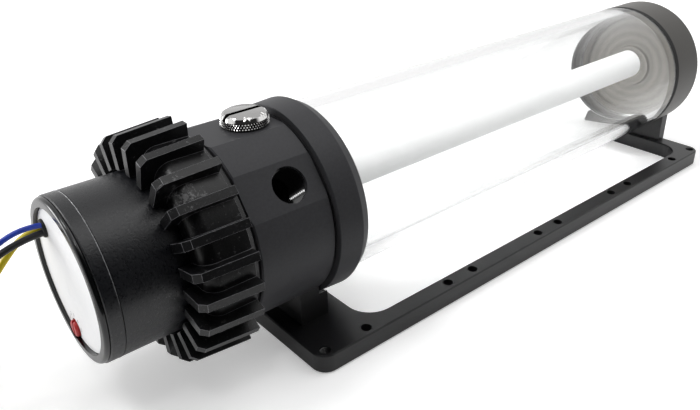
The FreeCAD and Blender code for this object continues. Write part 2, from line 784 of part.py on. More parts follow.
# Winding: an iron ring round the bowl with coils inside it, and the circuit board behind them.
winding_start = -186
core_length = 14
turned("stator_core", (winding_start, axis_y, axis_z), [
    (0, size("core_bore")), (0, size("core_radius")), (core_length, size("core_radius")),
    (core_length, size("core_bore"))])
coil_low = 17.2
coil_high = 20.6
coil_width = 9
coil_length = 6
coil_count = 6
coils = []
centre = Vector(winding_start, axis_y.value, axis_z.value)
block = Part.makeBox(coil_length, coil_width, coil_high - coil_low,
                     centre + Vector(0, -coil_width / 2, coil_low))
block_round = 1.2
block = block.makeFillet(block_round, [edge for edge in block.Edges if edge.BoundBox.XLength > 1])
for number in range(coil_count):
    copy = block.copy()
    copy.rotate(centre, Vector(1, 0, 0), 360 / coil_count * number)
    coils.append(copy)
solid_piece("stator_coils", Part.makeCompound(coils))
board_start = -192
board_thickness = 1.6
turned("circuit_board", (board_start, axis_y, axis_z), [
    (0, 0), (0, size("board_radius")), (board_thickness, size("board_radius")), (board_thickness, 0)])

# Rear cover: a disc with a rounded rim and a recess for the label, pressed into the can. The dial's hole
# and the cable bush's hole go through both.
can_face = measure(1.75)
cover_start = can_start - can_face
rounding = size("cover_round")
recess = measure(1.6)
cover_back = measure(3.4)
skirt_end = measure(7)
label_play = 0.2
bezel_gap = 0.25
shoulder_gap = 0.3
skirt_gap = 0.1
skirt_wall = 1.5
rim_inner = size("label_radius") + label_play
rim_outer = size("cover_radius")
bezel_end = can_face - bezel_gap
bezel_step = can_bore + shoulder_gap
skirt_radius = can_bore - skirt_gap
skirt_bore = can_bore - skirt_wall
rear_cover = turned("rear_cover", (cover_start, axis_y, axis_z), [
    (recess, 0), (recess, rim_inner), (0, rim_inner), (0, rim_outer - rounding),
    (rounding, rim_outer, rounding, -1), (bezel_end, rim_outer), (bezel_end, bezel_step),
    (can_face, bezel_step), (can_face, skirt_radius), (skirt_end, skirt_radius), (skirt_end, skirt_bore),
    (cover_back, skirt_bore), (cover_back, 0)])
dial_spot = (size("dial_side"), size("dial_drop"))
bush_spot = (size("bush_side"), size("bush_rise"))
dial_gap = 0.4
dial_hole = size("dial_radius") + dial_gap
bored(rear_cover, "YZ_Plane", None, [dial_spot], dial_hole, skirt_end, reverse=True)
bored(rear_cover, "YZ_Plane", None, [bush_spot], size("bush_radius"), skirt_end, reverse=True)
label_thickness = 0.2
rear_label = turned("rear_label", (cover_start + recess - label_thickness, axis_y, axis_z), [
    (0, 0), (0, size("label_radius")), (label_thickness, size("label_radius")), (label_thickness, 0)])
bored(rear_label, "YZ_Plane", None, [dial_spot], dial_hole, recess, reverse=True)
bored(rear_label, "YZ_Plane", None, [bush_spot], size("bush_radius"), recess, reverse=True)

# Speed dial: a small slotted knob that stands just inside the rim.
dial_back = 0.2
dial_long = 5
dial_slot_half = 0.5
dial_slot_deep = 1.2
dial = turned("speed_dial", (cover_start + dial_back, axis_y + dial_spot[0], axis_z + dial_spot[1]), [
    (0, 0), (0, size("dial_radius") - break_size), (break_size, size("dial_radius")),
    (dial_long, size("dial_radius")), (dial_long, 0)])
milled(dial, "XY_Plane", [(-1, -dial_slot_half), (dial_slot_deep, -dial_slot_half),
                          (dial_slot_deep, dial_slot_half), (-1, dial_slot_half)], size("dial_radius") * 3)

# Cable bush: a rubber plug in the cover that the three leads come through.
bush_stand = 0.4
turned("wire_grommet", (cover_start + bush_stand, axis_y + bush_spot[0], axis_z + bush_spot[1]), [
    (0, 0), (0, size("bush_radius") - bush_stand), (bush_stand, size("bush_radius")),
    (skirt_end, size("bush_radius")), (skirt_end, 0)])

# Leads: each leaves the bush straight, drops to the floor in one sweep, runs flat beside the other two and
# makes its turns in the common coil. Its tail leaves the coil's top layer and ends in a connector.
coil_x = SIZES["coil_station"]
coil_y = SIZES["coil_side"]
coil_r = SIZES["coil_radius"]
layer = SIZES["coil_pitch"]
low = SIZES["coil_rest"] + layer / 2
high = low + SIZES["coil_turns"] * layer
lead_grip = 0.9
bush_inside = cover_start.value + lead_grip
middle_lane = coil_x - coil_r
outer_lane = middle_lane - SIZES["lane_pitch"]
inner_lane = middle_lane + SIZES["lane_pitch"]
power_face = coil_y + 24
tacho_face = coil_y + 22
tail_bend = coil_y + 7
tail_end = coil_y + 16
plug_level = 5
signal_shift = 9


def lead(points, diameter):
    """A round lead along straight runs joined by tangent arcs."""
    points = [Vector(*point) for point in points]
    edges = []
    here = points[0]
    for before, bend, after in zip(points, points[1:], points[2:]):
        back = (before - bend)
        ahead = (after - bend)
        run = min(back.Length, ahead.Length) * 0.45
        back.normalize()
        ahead.normalize()
        enter = bend + back * run
        leave = bend + ahead * run
        half = back.getAngle(ahead) / 2
        radius = run * math.tan(half)
        crown = bend + (back + ahead).normalize() * (radius / math.sin(half) - radius)
        edges.append(Part.LineSegment(here, enter).toShape())
        edges.append(Part.Arc(enter, crown, leave).toShape())
        here = leave
    edges.append(Part.LineSegment(here, points[-1]).toShape())
    section = Part.Wire(Part.Circle(points[0], points[1] - points[0], diameter / 2).toShape())
    return Part.Wire(edges).makePipeShell([section], True, False)


leads = (
    ("black_wire", SIZES["supply_lead"], outer_lane, outer_lane, power_face,
     [(bush_inside, 55.7, 61.2), (-212.5, 55.7, 61), (-226, 54.5, 55), (-240, 53.5, 41), (-252, 56, 22),
      (-260, 64, 7), (outer_lane, 75, low)]),
    ("yellow_wire", SIZES["supply_lead"], middle_lane, middle_lane, power_face,
     [(bush_inside, 58.6, 61.5), (-208.5, 58.6, 61.3), (-217, 59.3, 53), (-229, 60.2, 39), (-243, 61.5, 21),
      (-254, 67, 7), (middle_lane, 75, low)]),
    ("blue_wire", SIZES["signal_lead"], inner_lane, inner_lane + signal_shift, tacho_face,
     [(bush_inside, 55.7, 63.9), (-209.5, 55.7, 65.4), (-221, 56.5, 60), (-230, 62, 49), (-240, 67.5, 30),
      (-249, 70, 10), (inner_lane, 75.5, low)]),
)
for name, diameter, lane, plug_lane, plug_face, drop in leads:
    drop = drop + [(lane, coil_y, low)]
    tail = [(lane, coil_y, high), (lane, tail_bend, high), (plug_lane, tail_end, plug_level),
            (plug_lane, plug_face, plug_level)]
    solid_piece(name, Part.makeCompound([lead(drop, diameter), lead(tail, diameter)]))

# Coil: the outer shape of the three leads' turns, held by a strap.
half_coil = SIZES["lane_pitch"] + layer / 2
coil_inner = coil_r - half_coil
coil_outer = coil_r + half_coil
coil_height = (SIZES["coil_turns"] + 1) * layer
coil_foot = Vector(coil_x, coil_y, SIZES["coil_rest"])
coil = Part.makeCylinder(coil_outer, coil_height, coil_foot)
coil = coil.cut(Part.makeCylinder(coil_inner, coil_height, coil_foot))
solid_piece("wire_coil", coil)
strap_wall = 1
strap_width = 4
strap_gap = 0.1
strap_near = math.sqrt(coil_inner ** 2 - (strap_width / 2) ** 2) - strap_gap
strap_far = coil_outer + strap_gap
strap_tall = SIZES["coil_rest"] + coil_height + strap_gap
strap_y = coil_y - strap_width / 2
outer_box = Part.makeBox(strap_far - strap_near + 2 * strap_wall, strap_width, strap_tall + strap_wall,
                         Vector(coil_x + strap_near - strap_wall, strap_y, 0))
inner_box = Part.makeBox(strap_far - strap_near, strap_width, strap_tall - strap_wall,
                         Vector(coil_x + strap_near, strap_y, strap_wall))
solid_piece("coil_tie", outer_box.cut(inner_box))

# Connectors: a broad one for the supply, with its two leads, and a narrow one for the speed signal.
power_size = Vector(21, 20, 10)
tacho_size = Vector(8, 14, 6.5)
plug_shift = 2.6
power_x = outer_lane - plug_shift
tacho_x = inner_lane + signal_shift
power = Part.makeBox(power_size.x, power_size.y, power_size.z,
                     Vector(power_x - power_size.x / 2, power_face, 0))
shell_round = 1.5
power = power.makeFillet(shell_round, [edge for edge in power.Edges
                                       if edge.BoundBox.YLength > power_size.y / 2])
shell_wall = 1.6
socket_long = 9
power = power.cut(Part.makeBox(power_size.x - 2 * shell_wall, socket_long, power_size.z - 2 * shell_wall,
                               Vector(power_x - power_size.x / 2 + shell_wall,
                                      power_face + power_size.y - socket_long, shell_wall)))
solid_piece("power_connector", power)
tacho = Part.makeBox(tacho_size.x, tacho_size.y, tacho_size.z,
                     Vector(tacho_x - tacho_size.x / 2, tacho_face, 0))
pin_pitch = 2.54
pin_radius = 0.6
pin_depth = 8
for way in (-1, 0, 1):
    mouth = Vector(tacho_x + way * pin_pitch, tacho_face + tacho_size.y - pin_depth, tacho_size.z / 2)
    tacho = tacho.cut(Part.makeCylinder(pin_radius, pin_depth, mouth, Vector(0, 1, 0)))
solid_piece("tacho_connector", tacho)

doc.recompute()
for item in doc.Objects:
    faults = [state for state in item.State if state in ("Invalid", "Error")]
    if faults:
        raise RuntimeError(f"{item.Name} did not compute: {faults}")
os.makedirs("parts", exist_ok=True)
for piece in pieces:
    shape = piece.Shape
    if shape.isNull() or not shape.isValid():
        raise RuntimeError(f"{piece.Label} has no valid shape")
    shape.exportStep(f"parts/{piece.Label}.step")
    print(piece.Label, len(shape.Solids), round(shape.Volume, 1), shape.BoundBox)
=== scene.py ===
import math

import bmesh
import bpy
from mathutils import Matrix, Vector


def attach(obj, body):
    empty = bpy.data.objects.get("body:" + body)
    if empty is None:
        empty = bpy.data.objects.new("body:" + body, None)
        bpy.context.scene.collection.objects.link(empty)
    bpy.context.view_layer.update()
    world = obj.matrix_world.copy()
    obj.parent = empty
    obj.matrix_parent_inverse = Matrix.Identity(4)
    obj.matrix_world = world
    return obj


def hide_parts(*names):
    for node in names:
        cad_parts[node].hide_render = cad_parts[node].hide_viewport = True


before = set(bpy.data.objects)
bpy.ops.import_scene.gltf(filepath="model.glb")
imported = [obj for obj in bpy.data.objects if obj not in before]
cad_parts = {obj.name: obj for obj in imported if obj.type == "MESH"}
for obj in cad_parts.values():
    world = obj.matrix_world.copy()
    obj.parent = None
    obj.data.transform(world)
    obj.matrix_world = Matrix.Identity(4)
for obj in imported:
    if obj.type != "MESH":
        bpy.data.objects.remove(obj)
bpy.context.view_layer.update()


# Bracket: a C of flat aluminium bar, sawn, milled and black anodised, with a row of fan holes in its rail.
# Anodising keeps the bead-blasted grain, so the bar looks soft black with pale, broad highlights. The grain
# is drawn coarser than it is, so that it shows.
def srgb(code):
    parts = [int(code[place:place + 2], 16) / 255 for place in (1, 3, 5)]
    return [part / 12.92 if part <= 0.04045 else ((part + 0.055) / 1.055) ** 2.4 for part in parts] + [1.0]


def add(tree, kind, inputs=None, **settings):
    """Adds a node to a tree, with a constant or a link on each input that is named."""
    node = tree.nodes.new(kind)
    for name, value in settings.items():
        setattr(node, name, value)
    for name, value in (inputs or {}).items():
        socket = node.inputs[name]
        if isinstance(value, bpy.types.NodeSocket):
            tree.links.new(value, socket)
        else:
            socket.default_value = value
    return node


def new_material(name):
    material = bpy.data.materials.new(name)
    material.use_nodes = True
    tree = material.node_tree
    tree.nodes.clear()
    place = add(tree, "ShaderNodeTexCoord").outputs["Object"]
    return material, tree, place


def close_material(tree, inputs):
    shader = add(tree, "ShaderNodeBsdfPrincipled", inputs)
    add(tree, "ShaderNodeOutputMaterial", {"Surface": shader.outputs["BSDF"]})


def finished(node, body, material, edge=0.0, crease=30, painted_edges=None):
    """A smooth-shaded copy of a solid, its seams merged and its edges broken, in place of the solid."""
    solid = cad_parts[node].data
    mesh = bpy.data.meshes.new(f"{node}_mesh")
    mesh.from_pydata([corner.co for corner in solid.vertices], [], [face.vertices for face in solid.polygons])
    shape = bmesh.new()
    shape.from_mesh(mesh)
    bmesh.ops.remove_doubles(shape, verts=shape.verts, dist=1e-6)
    bmesh.ops.dissolve_limit(shape, angle_limit=math.radians(0.3), verts=shape.verts, edges=shape.edges)
    shape.to_mesh(mesh)
    shape.free()
    mesh.shade_smooth()
    mesh.set_sharp_from_angle(angle=math.radians(crease))
    mesh.materials.append(material)
    if painted_edges:
        mesh.materials.append(painted_edges)
    piece = bpy.data.objects.new(f"{node}_finished", mesh)
    bpy.context.scene.collection.objects.link(piece)
    if edge:
        bevel = piece.modifiers.new("edge_break", "BEVEL")
        bevel.width = edge
        bevel.segments = 2
        bevel.limit_method = "ANGLE"
        bevel.angle_limit = math.radians(30)
        bevel.harden_normals = True
        # The second material, where given, paints highlights on the broken edges.
        bevel.material = 1 if painted_edges else -1
    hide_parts(node)
    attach(piece, body)
    return piece


anodised, tree, place = new_material("black_anodised_aluminium")
blast_width, blast_depth = 0.0005, 0.00004
grain = add(tree, "ShaderNodeTexNoise", {"Vector": place, "Scale": 1 / blast_width, "Detail": 2.0})
tone = add(tree, "ShaderNodeMix", {"Factor": grain.outputs["Fac"], "A": srgb("#0d0d0f"),
                                   "B": srgb("#171719")}, data_type="RGBA")
gloss = add(tree, "ShaderNodeMapRange", {"Value": grain.outputs["Fac"], "To Min": 0.3, "To Max": 0.42})
blast = add(tree, "ShaderNodeBump", {"Height": grain.outputs["Fac"], "Strength": 0.25,
                                     "Distance": blast_depth})
close_material(tree, {"Base Color": tone.outputs[2], "Roughness": gloss.outputs["Result"],
                      "Normal": blast.outputs["Normal"]})
finished("bracket_plate", "frame", anodised)


# Corner threads: the two outermost rail holes are tapped. The tap leaves a helical ridge, which a tree of
# nodes winds as a four-sided bar on its edge, half sunk in the hole's wall. Flank is the bar's width over
# its height.
def grown(name, tree, sizes, spot, body):
    """Runs a tree of nodes once and keeps what it makes as a plain mesh at its place."""
    piece = bpy.data.objects.new(name, bpy.data.meshes.new(name))
    steps = piece.modifiers.new(name, "NODES")
    steps.node_group = tree
    for item in tree.interface.items_tree:
        if item.in_out == "INPUT":
            steps[item.identifier] = sizes[item.name]
    bpy.context.scene.collection.objects.link(piece)
    made = bpy.data.meshes.new_from_object(piece.evaluated_get(bpy.context.evaluated_depsgraph_get()))
    piece.modifiers.remove(steps)
    made.transform(spot)
    piece.data = made
    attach(piece, body)


def new_tree(name, inputs):
    tree = bpy.data.node_groups.new(name, "GeometryNodeTree")
    for label, kind in inputs.items():
        tree.interface.new_socket(label, in_out="INPUT", socket_type=f"NodeSocket{kind}")
    tree.interface.new_socket("Geometry", in_out="OUTPUT", socket_type="NodeSocketGeometry")
    return tree, add(tree, "NodeGroupInput").outputs


def close_tree(tree, geometry, finish):
    whole = add(tree, "GeometryNodeRealizeInstances", {"Geometry": geometry})
    coated = add(tree, "GeometryNodeSetMaterial", {"Geometry": whole.outputs["Geometry"], "Material": finish})
    add(tree, "NodeGroupOutput", {"Geometry": coated.outputs["Geometry"]})


points_per_turn = 40
sharp_fold = math.radians(40)
thread, given = new_tree("thread_ridge", {"Radius": "Float", "Ridge": "Float", "Flank": "Float",
                                          "Pitch": "Float", "Turns": "Float", "Finish": "Material"})
rise = add(thread, "ShaderNodeMath", {0: given["Pitch"], 1: given["Turns"]}, operation="MULTIPLY")
helix = add(thread, "GeometryNodeCurveSpiral",
            {"Resolution": points_per_turn, "Rotations": given["Turns"], "Height": rise.outputs["Value"],
             "Start Radius": given["Radius"], "End Radius": given["Radius"]})
level = add(thread, "GeometryNodeSetCurveNormal", {"Curve": helix.outputs["Curve"]}, mode="Z_UP")
square = add(thread, "GeometryNodeCurvePrimitiveCircle", {"Resolution": 4, "Radius": given["Ridge"]})
slim = add(thread, "ShaderNodeCombineXYZ", {"X": 1.0, "Y": given["Flank"], "Z": 1.0})
section = add(thread, "GeometryNodeTransform",
              {"Geometry": square.outputs["Curve"], "Scale": slim.outputs["Vector"]})
ridge = add(thread, "GeometryNodeCurveToMesh",
            {"Curve": level.outputs["Curve"], "Profile Curve": section.outputs["Geometry"],
             "Fill Caps": True})
fold = add(thread, "GeometryNodeInputMeshEdgeAngle")
along = add(thread, "FunctionNodeCompare", {0: fold.outputs["Unsigned Angle"], 1: sharp_fold},
            operation="LESS_THAN")
crisp = add(thread, "GeometryNodeSetShadeSmooth",
            {"Geometry": ridge.outputs["Mesh"], "Shade Smooth": along.outputs["Result"]}, domain="EDGE")
close_tree(thread, crisp.outputs["Geometry"], given["Finish"])

corner_hole_x = 0.13225
corner_thread_start = 0.0005
corner_thread = {"Radius": 0.00215, "Ridge": 0.0003, "Flank": 0.58, "Pitch": 0.0007, "Turns": 10.0,
                 "Finish": anodised}
for name, station in (("near", -corner_hole_x), ("far", corner_hole_x)):
    grown(f"{name}_corner_thread", thread, corner_thread,
          Matrix.Translation((station, 0, corner_thread_start)), "frame")

# Legs and leg screws: two milled blocks that carry the round parts, each held by countersunk screws driven
# from below. The blocks are anodised like the bracket, and the screws are blackened steel.
for node in ("pump_leg", "cap_leg"):
    finished(node, "frame", anodised, edge=0.0004)

# Black oxide leaves the steel a dull, slightly brown black.
blackened, tree, place = new_material("black_oxide_steel")
oxide_patch = 0.0012
bloom = add(tree, "ShaderNodeTexNoise", {"Vector": place, "Scale": 1 / oxide_patch, "Detail": 3.0})
tone = add(tree, "ShaderNodeMix", {"Factor": bloom.outputs["Fac"], "A": srgb("#141416"),
                                   "B": srgb("#2c2b2a")}, data_type="RGBA")
close_material(tree, {"Base Color": tone.outputs[2], "Metallic": 0.9, "Roughness": 0.4})
finished("leg_screws", "frame", blackened)

# Pump top and collar: turned from black acetal rod, with flats milled for the ports. Turning leaves fine
# rings across the surface, which stretch the highlights along the axis. The collar's crest is set nearer to
# the tube than the solid has it.
axis_y, axis_z = 0.0415, 0.049


def reshape(piece, rule):
    """Moves each corner of a round piece to the station and radius that the rule gives for its own."""
    for corner in piece.data.vertices:
        out_y, out_z = corner.co.y - axis_y, corner.co.z - axis_z
        radius = math.hypot(out_y, out_z)
        station, wanted = rule(corner.co.x, radius)
        share = wanted / radius
        corner.co = (station, axis_y + out_y * share, axis_z + out_z * share)


# Turned acetal looks satin black. Its rings and specks are drawn coarser than they are, so that they show. A
# wave texture's bands stand one wave unit apart at scale 1.
acetal, tree, place = new_material("turned_black_acetal")
wave_unit = 0.314
turning_feed, turning_depth, acetal_speck = 0.0006, 0.00003, 0.0009
feed = add(tree, "ShaderNodeTexWave", {"Vector": place, "Scale": wave_unit / turning_feed, "Distortion": 0.6,
                                       "Detail": 1.0}, bands_direction="X")
speck = add(tree, "ShaderNodeTexNoise", {"Vector": place, "Scale": 1 / acetal_speck, "Detail": 2.0})
tone = add(tree, "ShaderNodeMix", {"Factor": speck.outputs["Fac"], "A": srgb("#38383a"),
                                   "B": srgb("#444447")}, data_type="RGBA")
gloss = add(tree, "ShaderNodeMapRange", {"Value": speck.outputs["Fac"], "To Min": 0.4, "To Max": 0.52})
grooves = add(tree, "ShaderNodeBump", {"Height": feed.outputs["Fac"], "Strength": 0.12,
                                       "Distance": turning_depth})
close_material(tree, {"Base Color": tone.outputs[2], "Roughness": gloss.outputs["Result"],
                      "Specular IOR Level": 0.22, "Normal": grooves.outputs["Normal"]})
finished("pump_top", "frame", acetal, edge=0.00025, crease=9)
collar = finished("tube_collar", "frame", acetal, edge=0.0003, crease=12)
collar_inside = 0.0355
collar_face, solid_crest, collar_nose = (-0.1202, 0.038), (-0.115, 0.039), (-0.106, 0.0362)
collar_crest = (-0.1103, 0.0386)


def collar_rule(station, radius):
    if radius < collar_inside:
        return station, radius
    near, far = (collar_face, solid_crest) if station < solid_crest[0] else (solid_crest, collar_nose)
    share = (station - near[0]) / (far[0] - near[0])
    near, far = (collar_crest if end == solid_crest else end for end in (near, far))
    return near[0] + share * (far[0] - near[0]), near[1] + share * (far[1] - near[1])


reshape(collar, collar_rule)

# Port threads: the tapped mouths of the pump top's three ports and of the cap's filling port. The cut flanks
# are glossier than the turned outside, and glint where they face the light.
tapped, tree, place = new_material("tapped_black_acetal")
chatter_width = 0.0006
chatter = add(tree, "ShaderNodeTexNoise", {"Vector": place, "Scale": 1 / chatter_width, "Detail": 2.0})
tone = add(tree, "ShaderNodeMix", {"Factor": chatter.outputs["Fac"], "A": srgb("#101011"),
                                   "B": srgb("#1e1e20")}, data_type="RGBA")
gloss = add(tree, "ShaderNodeMapRange", {"Value": chatter.outputs["Fac"], "To Min": 0.05, "To Max": 0.14})
close_material(tree, {"Base Color": tone.outputs[2], "Roughness": gloss.outputs["Result"],
                      "Specular IOR Level": 0.5})
port_radius = 0.00658
port_ridge = 0.00062
port_pitch = 0.001337
port_flank = math.tan(math.radians(27.5))
port_tilt = math.radians(52.4)
side_port_x, top_port_x, fill_port_x = -0.1334, -0.1317, 0.10275
ports = {
    "near_port": Matrix.Translation((side_port_x, axis_y, axis_z)) @ Matrix.Rotation(port_tilt, 4, "X"),
    "far_port": Matrix.Translation((side_port_x, axis_y, axis_z)) @ Matrix.Rotation(-port_tilt, 4, "X"),
    "top_port": Matrix.Translation((top_port_x, axis_y, axis_z)),
    "fill_port": Matrix.Translation((fill_port_x, axis_y, axis_z)) @ Matrix.Rotation(math.pi / 2, 4, "Y"),
}
port_start, port_turns = 0.022, 9.0
fill_start, fill_turns = port_start + port_pitch * 2, 6.5
for name, spot in ports.items():
    start, turns = (fill_start, fill_turns) if name == "fill_port" else (port_start, port_turns)
    grown(f"{name}_thread", thread,
          {"Radius": port_radius, "Ridge": port_ridge, "Flank": port_flank, "Pitch": port_pitch,
           "Turns": turns, "Finish": tapped},
          spot @ Matrix.Translation((0, 0, start)), "frame")

# Seals: rings moulded from rubber, dull black with a faint bloom, and pressed into their grooves. All are
# hidden, apart from the gasket, which shows as a line between the tube and the cap.
rubber, tree, place = new_material("moulded_black_rubber")
bloom_patch = 0.002
bloom = add(tree, "ShaderNodeTexNoise", {"Vector": place, "Scale": 1 / bloom_patch, "Detail": 3.0})
tone = add(tree, "ShaderNodeMix", {"Factor": bloom.outputs["Fac"], "A": srgb("#080808"),
                                   "B": srgb("#151515")}, data_type="RGBA")
close_material(tree, {"Base Color": tone.outputs[2], "Roughness": 0.7})
for node in ("collar_seal", "motor_seal", "cap_gasket"):
    finished(node, "frame", rubber)
finished("plug_seal", "plug_seal", rubber)
finished("fill_seal", "fill_seal", rubber)

# Clear tube: extruded acrylic with a polished skin. It bends what is behind it and darkens at its edges, and
# light passes it, so what stands behind it is hardly shaded. The tint of its wall wanders a little.
acrylic, tree, place = new_material("clear_extruded_acrylic")
tint_patch = 0.03
haze = add(tree, "ShaderNodeTexNoise", {"Vector": place, "Scale": 1 / tint_patch, "Detail": 0.0})
tone = add(tree, "ShaderNodeMix", {"Factor": haze.outputs["Fac"], "A": srgb("#f9fafa"),
                                   "B": srgb("#ffffff")}, data_type="RGBA")
rays = add(tree, "ShaderNodeLightPath")
shade = add(tree, "ShaderNodeMapRange", {"Value": rays.outputs["Is Shadow Ray"],
                                         "To Min": 1.0, "To Max": 0.03})
close_material(tree, {"Base Color": tone.outputs[2], "Roughness": 0.0, "IOR": 1.49,
                      "Transmission Weight": 1.0, "Alpha": shade.outputs["Result"]})
tube_start, neck_start, neck_end = -0.117, 0.1128, 0.1214
tube_bore, tube_radius, neck_radius = 0.03, 0.035, 0.0328
tube_edge, neck_edge = 0.0003, 0.0002
tube_line = [(tube_start, tube_bore), (tube_start, tube_radius - tube_edge),
             (tube_start + tube_edge, tube_radius), (neck_start - tube_edge, tube_radius),
             (neck_start, tube_radius - tube_edge), (neck_start, neck_radius),
             (neck_end - neck_edge, neck_radius), (neck_end, neck_radius - neck_edge), (neck_end, tube_bore)]
tube_sides = 256
shape = bmesh.new()
rings = []
for station, radius in tube_line:
    ring = []
    for side in range(tube_sides):
        angle = 2 * math.pi * side / tube_sides
        out_y, out_z = radius * math.sin(angle), radius * math.cos(angle)
        ring.append(shape.verts.new((station, axis_y + out_y, axis_z + out_z)))
    rings.append(ring)
for ring, after in zip(rings, rings[1:] + rings[:1]):
    for side in range(tube_sides):
        follow = (side + 1) % tube_sides
        shape.faces.new((ring[side], after[side], after[follow], ring[follow]))
bmesh.ops.recalc_face_normals(shape, faces=shape.faces)
mesh = bpy.data.meshes.new("clear_tube_walls")
shape.to_mesh(mesh)
shape.free()
mesh.shade_smooth()
mesh.set_sharp_from_angle(angle=math.radians(30))
mesh.materials.append(acrylic)
tube = bpy.data.objects.new("clear_tube_walls", mesh)
bpy.context.scene.collection.objects.link(tube)
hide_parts("clear_tube")
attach(tube, "frame")

# Return tube: a pipe extruded from white plastic, an even white with a soft shine. It is pushed into the pump
# top, stands free inside the clear tube and carries the returning coolant to the far end.
white_pipe, tree, place = new_material("white_extruded_plastic")
flow_width = 0.004
haze = add(tree, "ShaderNodeTexNoise", {"Vector": place, "Scale": 1 / flow_width, "Detail": 2.0})
tone = add(tree, "ShaderNodeMix", {"Factor": haze.outputs["Fac"], "A": srgb("#f7f8f7"),
                                   "B": srgb("#ffffff")}, data_type="RGBA")
close_material(tree, {"Base Color": tone.outputs[2], "Roughness": 0.4})
finished("return_tube", "frame", white_pipe)

# End cap: turned from the same acetal, with a socket that the tube's neck is pushed into. Facing it leaves
# rings round the axis on its flat ends, a warm black with faint circles. They are drawn coarser than they
# are, so that they show.
faced, tree, place = new_material("faced_black_acetal")
facing_feed, facing_depth = 0.0016, 0.00005
centred = add(tree, "ShaderNodeMapping", {"Vector": place, "Location": (0, -axis_y, -axis_z)})
rings = add(tree, "ShaderNodeTexWave", {"Vector": centred.outputs["Vector"], "Scale": wave_unit / facing_feed,
                                        "Distortion": 0.3, "Detail": 1.0},
            wave_type="RINGS", rings_direction="X")
speck = add(tree, "ShaderNodeTexNoise", {"Vector": place, "Scale": 1 / acetal_speck, "Detail": 2.0})
tone = add(tree, "ShaderNodeMix", {"Factor": speck.outputs["Fac"], "A": srgb("#393631"),
                                   "B": srgb("#46423c")}, data_type="RGBA")
gloss = add(tree, "ShaderNodeMapRange", {"Value": speck.outputs["Fac"], "To Min": 0.3, "To Max": 0.42})
grooves = add(tree, "ShaderNodeBump", {"Height": rings.outputs["Fac"], "Strength": 0.2,
                                       "Distance": facing_depth})
close_material(tree, {"Base Color": tone.outputs[2], "Roughness": gloss.outputs["Result"],
                      "Normal": grooves.outputs["Normal"]})
cap = finished("end_cap", "frame", faced, edge=0.0003)

# Cap's wet face: the end that the coolant meets, faced with a coarser feed. It is painted as a lit copy of
# the cap's acetal, a warm grey with painted pale circles where the rings catch the light, drawn wide enough
# to show through the tube.
wet_face_painted_light, tree, place = new_material("coarse_faced_acetal_painted_light")
coarse_feed, coarse_depth = 0.0045, 0.00008
centred = add(tree, "ShaderNodeMapping", {"Vector": place, "Location": (0, -axis_y, -axis_z)})
rings = add(tree, "ShaderNodeTexWave", {"Vector": centred.outputs["Vector"], "Scale": wave_unit / coarse_feed,
                                        "Distortion": 0.8, "Detail": 2.0},
            wave_type="RINGS", rings_direction="X")
tone = add(tree, "ShaderNodeMix", {"Factor": rings.outputs["Fac"], "A": srgb("#5f5b54"),
                                   "B": srgb("#716d65")}, data_type="RGBA")
grooves = add(tree, "ShaderNodeBump", {"Height": rings.outputs["Fac"], "Strength": 0.15,
                                       "Distance": coarse_depth})
close_material(tree, {"Base Color": tone.outputs[2], "Roughness": 0.25, "Normal": grooves.outputs["Normal"]})
cap.data.materials.append(wet_face_painted_light)
socket_start, dish_floor, dish_radius = 0.12, 0.1235, 0.0275
for face in cap.data.polygons:
    off_axis = math.hypot(face.center.y - axis_y, face.center.z - axis_z)
    if socket_start < face.center.x < dish_floor and (face.normal.x < -0.5 or off_axis < dish_radius):
        face.material_index = 1

# Closing plugs: brass, turned, knurled, threaded, nickel plated and polished to a soft mirror, with a coin
# slot. The plating is brightest on the chamfer, and the band between the knurl's teeth and the slot are
# painted dark as shade. The chamfer is steeper than the solid's, and the shank is drawn in to the thread's
# root.
nickel, tree, place = new_material("polished_nickel_plate")
mop_swirl = 0.003
swirl = add(tree, "ShaderNodeTexNoise", {"Vector": place, "Scale": 1 / mop_swirl, "Detail": 2.0})
tone = add(tree, "ShaderNodeMix", {"Factor": swirl.outputs["Fac"], "A": srgb("#aaa9a8"),
                                   "B": srgb("#b6b5b4")}, data_type="RGBA")
gloss = add(tree, "ShaderNodeMapRange", {"Value": swirl.outputs["Fac"], "To Min": 0.08, "To Max": 0.2})
close_material(tree, {"Base Color": tone.outputs[2], "Metallic": 1.0, "Roughness": gloss.outputs["Result"]})

# The chamfer and the teeth are burnished, and mirror the room almost white.
burnished, tree, place = new_material("burnished_nickel_plate")
edge_swirl = 0.002
swirl = add(tree, "ShaderNodeTexNoise", {"Vector": place, "Scale": 1 / edge_swirl, "Detail": 2.0})
tone = add(tree, "ShaderNodeMix", {"Factor": swirl.outputs["Fac"], "A": srgb("#e6e5e4"),
                                   "B": srgb("#f6f5f4")}, data_type="RGBA")
close_material(tree, {"Base Color": tone.outputs[2], "Metallic": 1.0, "Roughness": 0.08})

# Between the teeth and in the slot the plating is painted dark: painted shade for these recesses.
shaded_nickel, tree, place = new_material("nickel_plate_painted_shade")
shade_mottle_size = 0.0008
shade_mottle = add(tree, "ShaderNodeTexNoise", {"Vector": place, "Scale": 1 / shade_mottle_size, "Detail": 2.0})
tone = add(tree, "ShaderNodeMix", {"Factor": shade_mottle.outputs["Fac"], "A": srgb("#3c3b3a"),
                                   "B": srgb("#6f6d6b")}, data_type="RGBA")
close_material(tree, {"Base Color": tone.outputs[2], "Metallic": 1.0, "Roughness": 0.2})

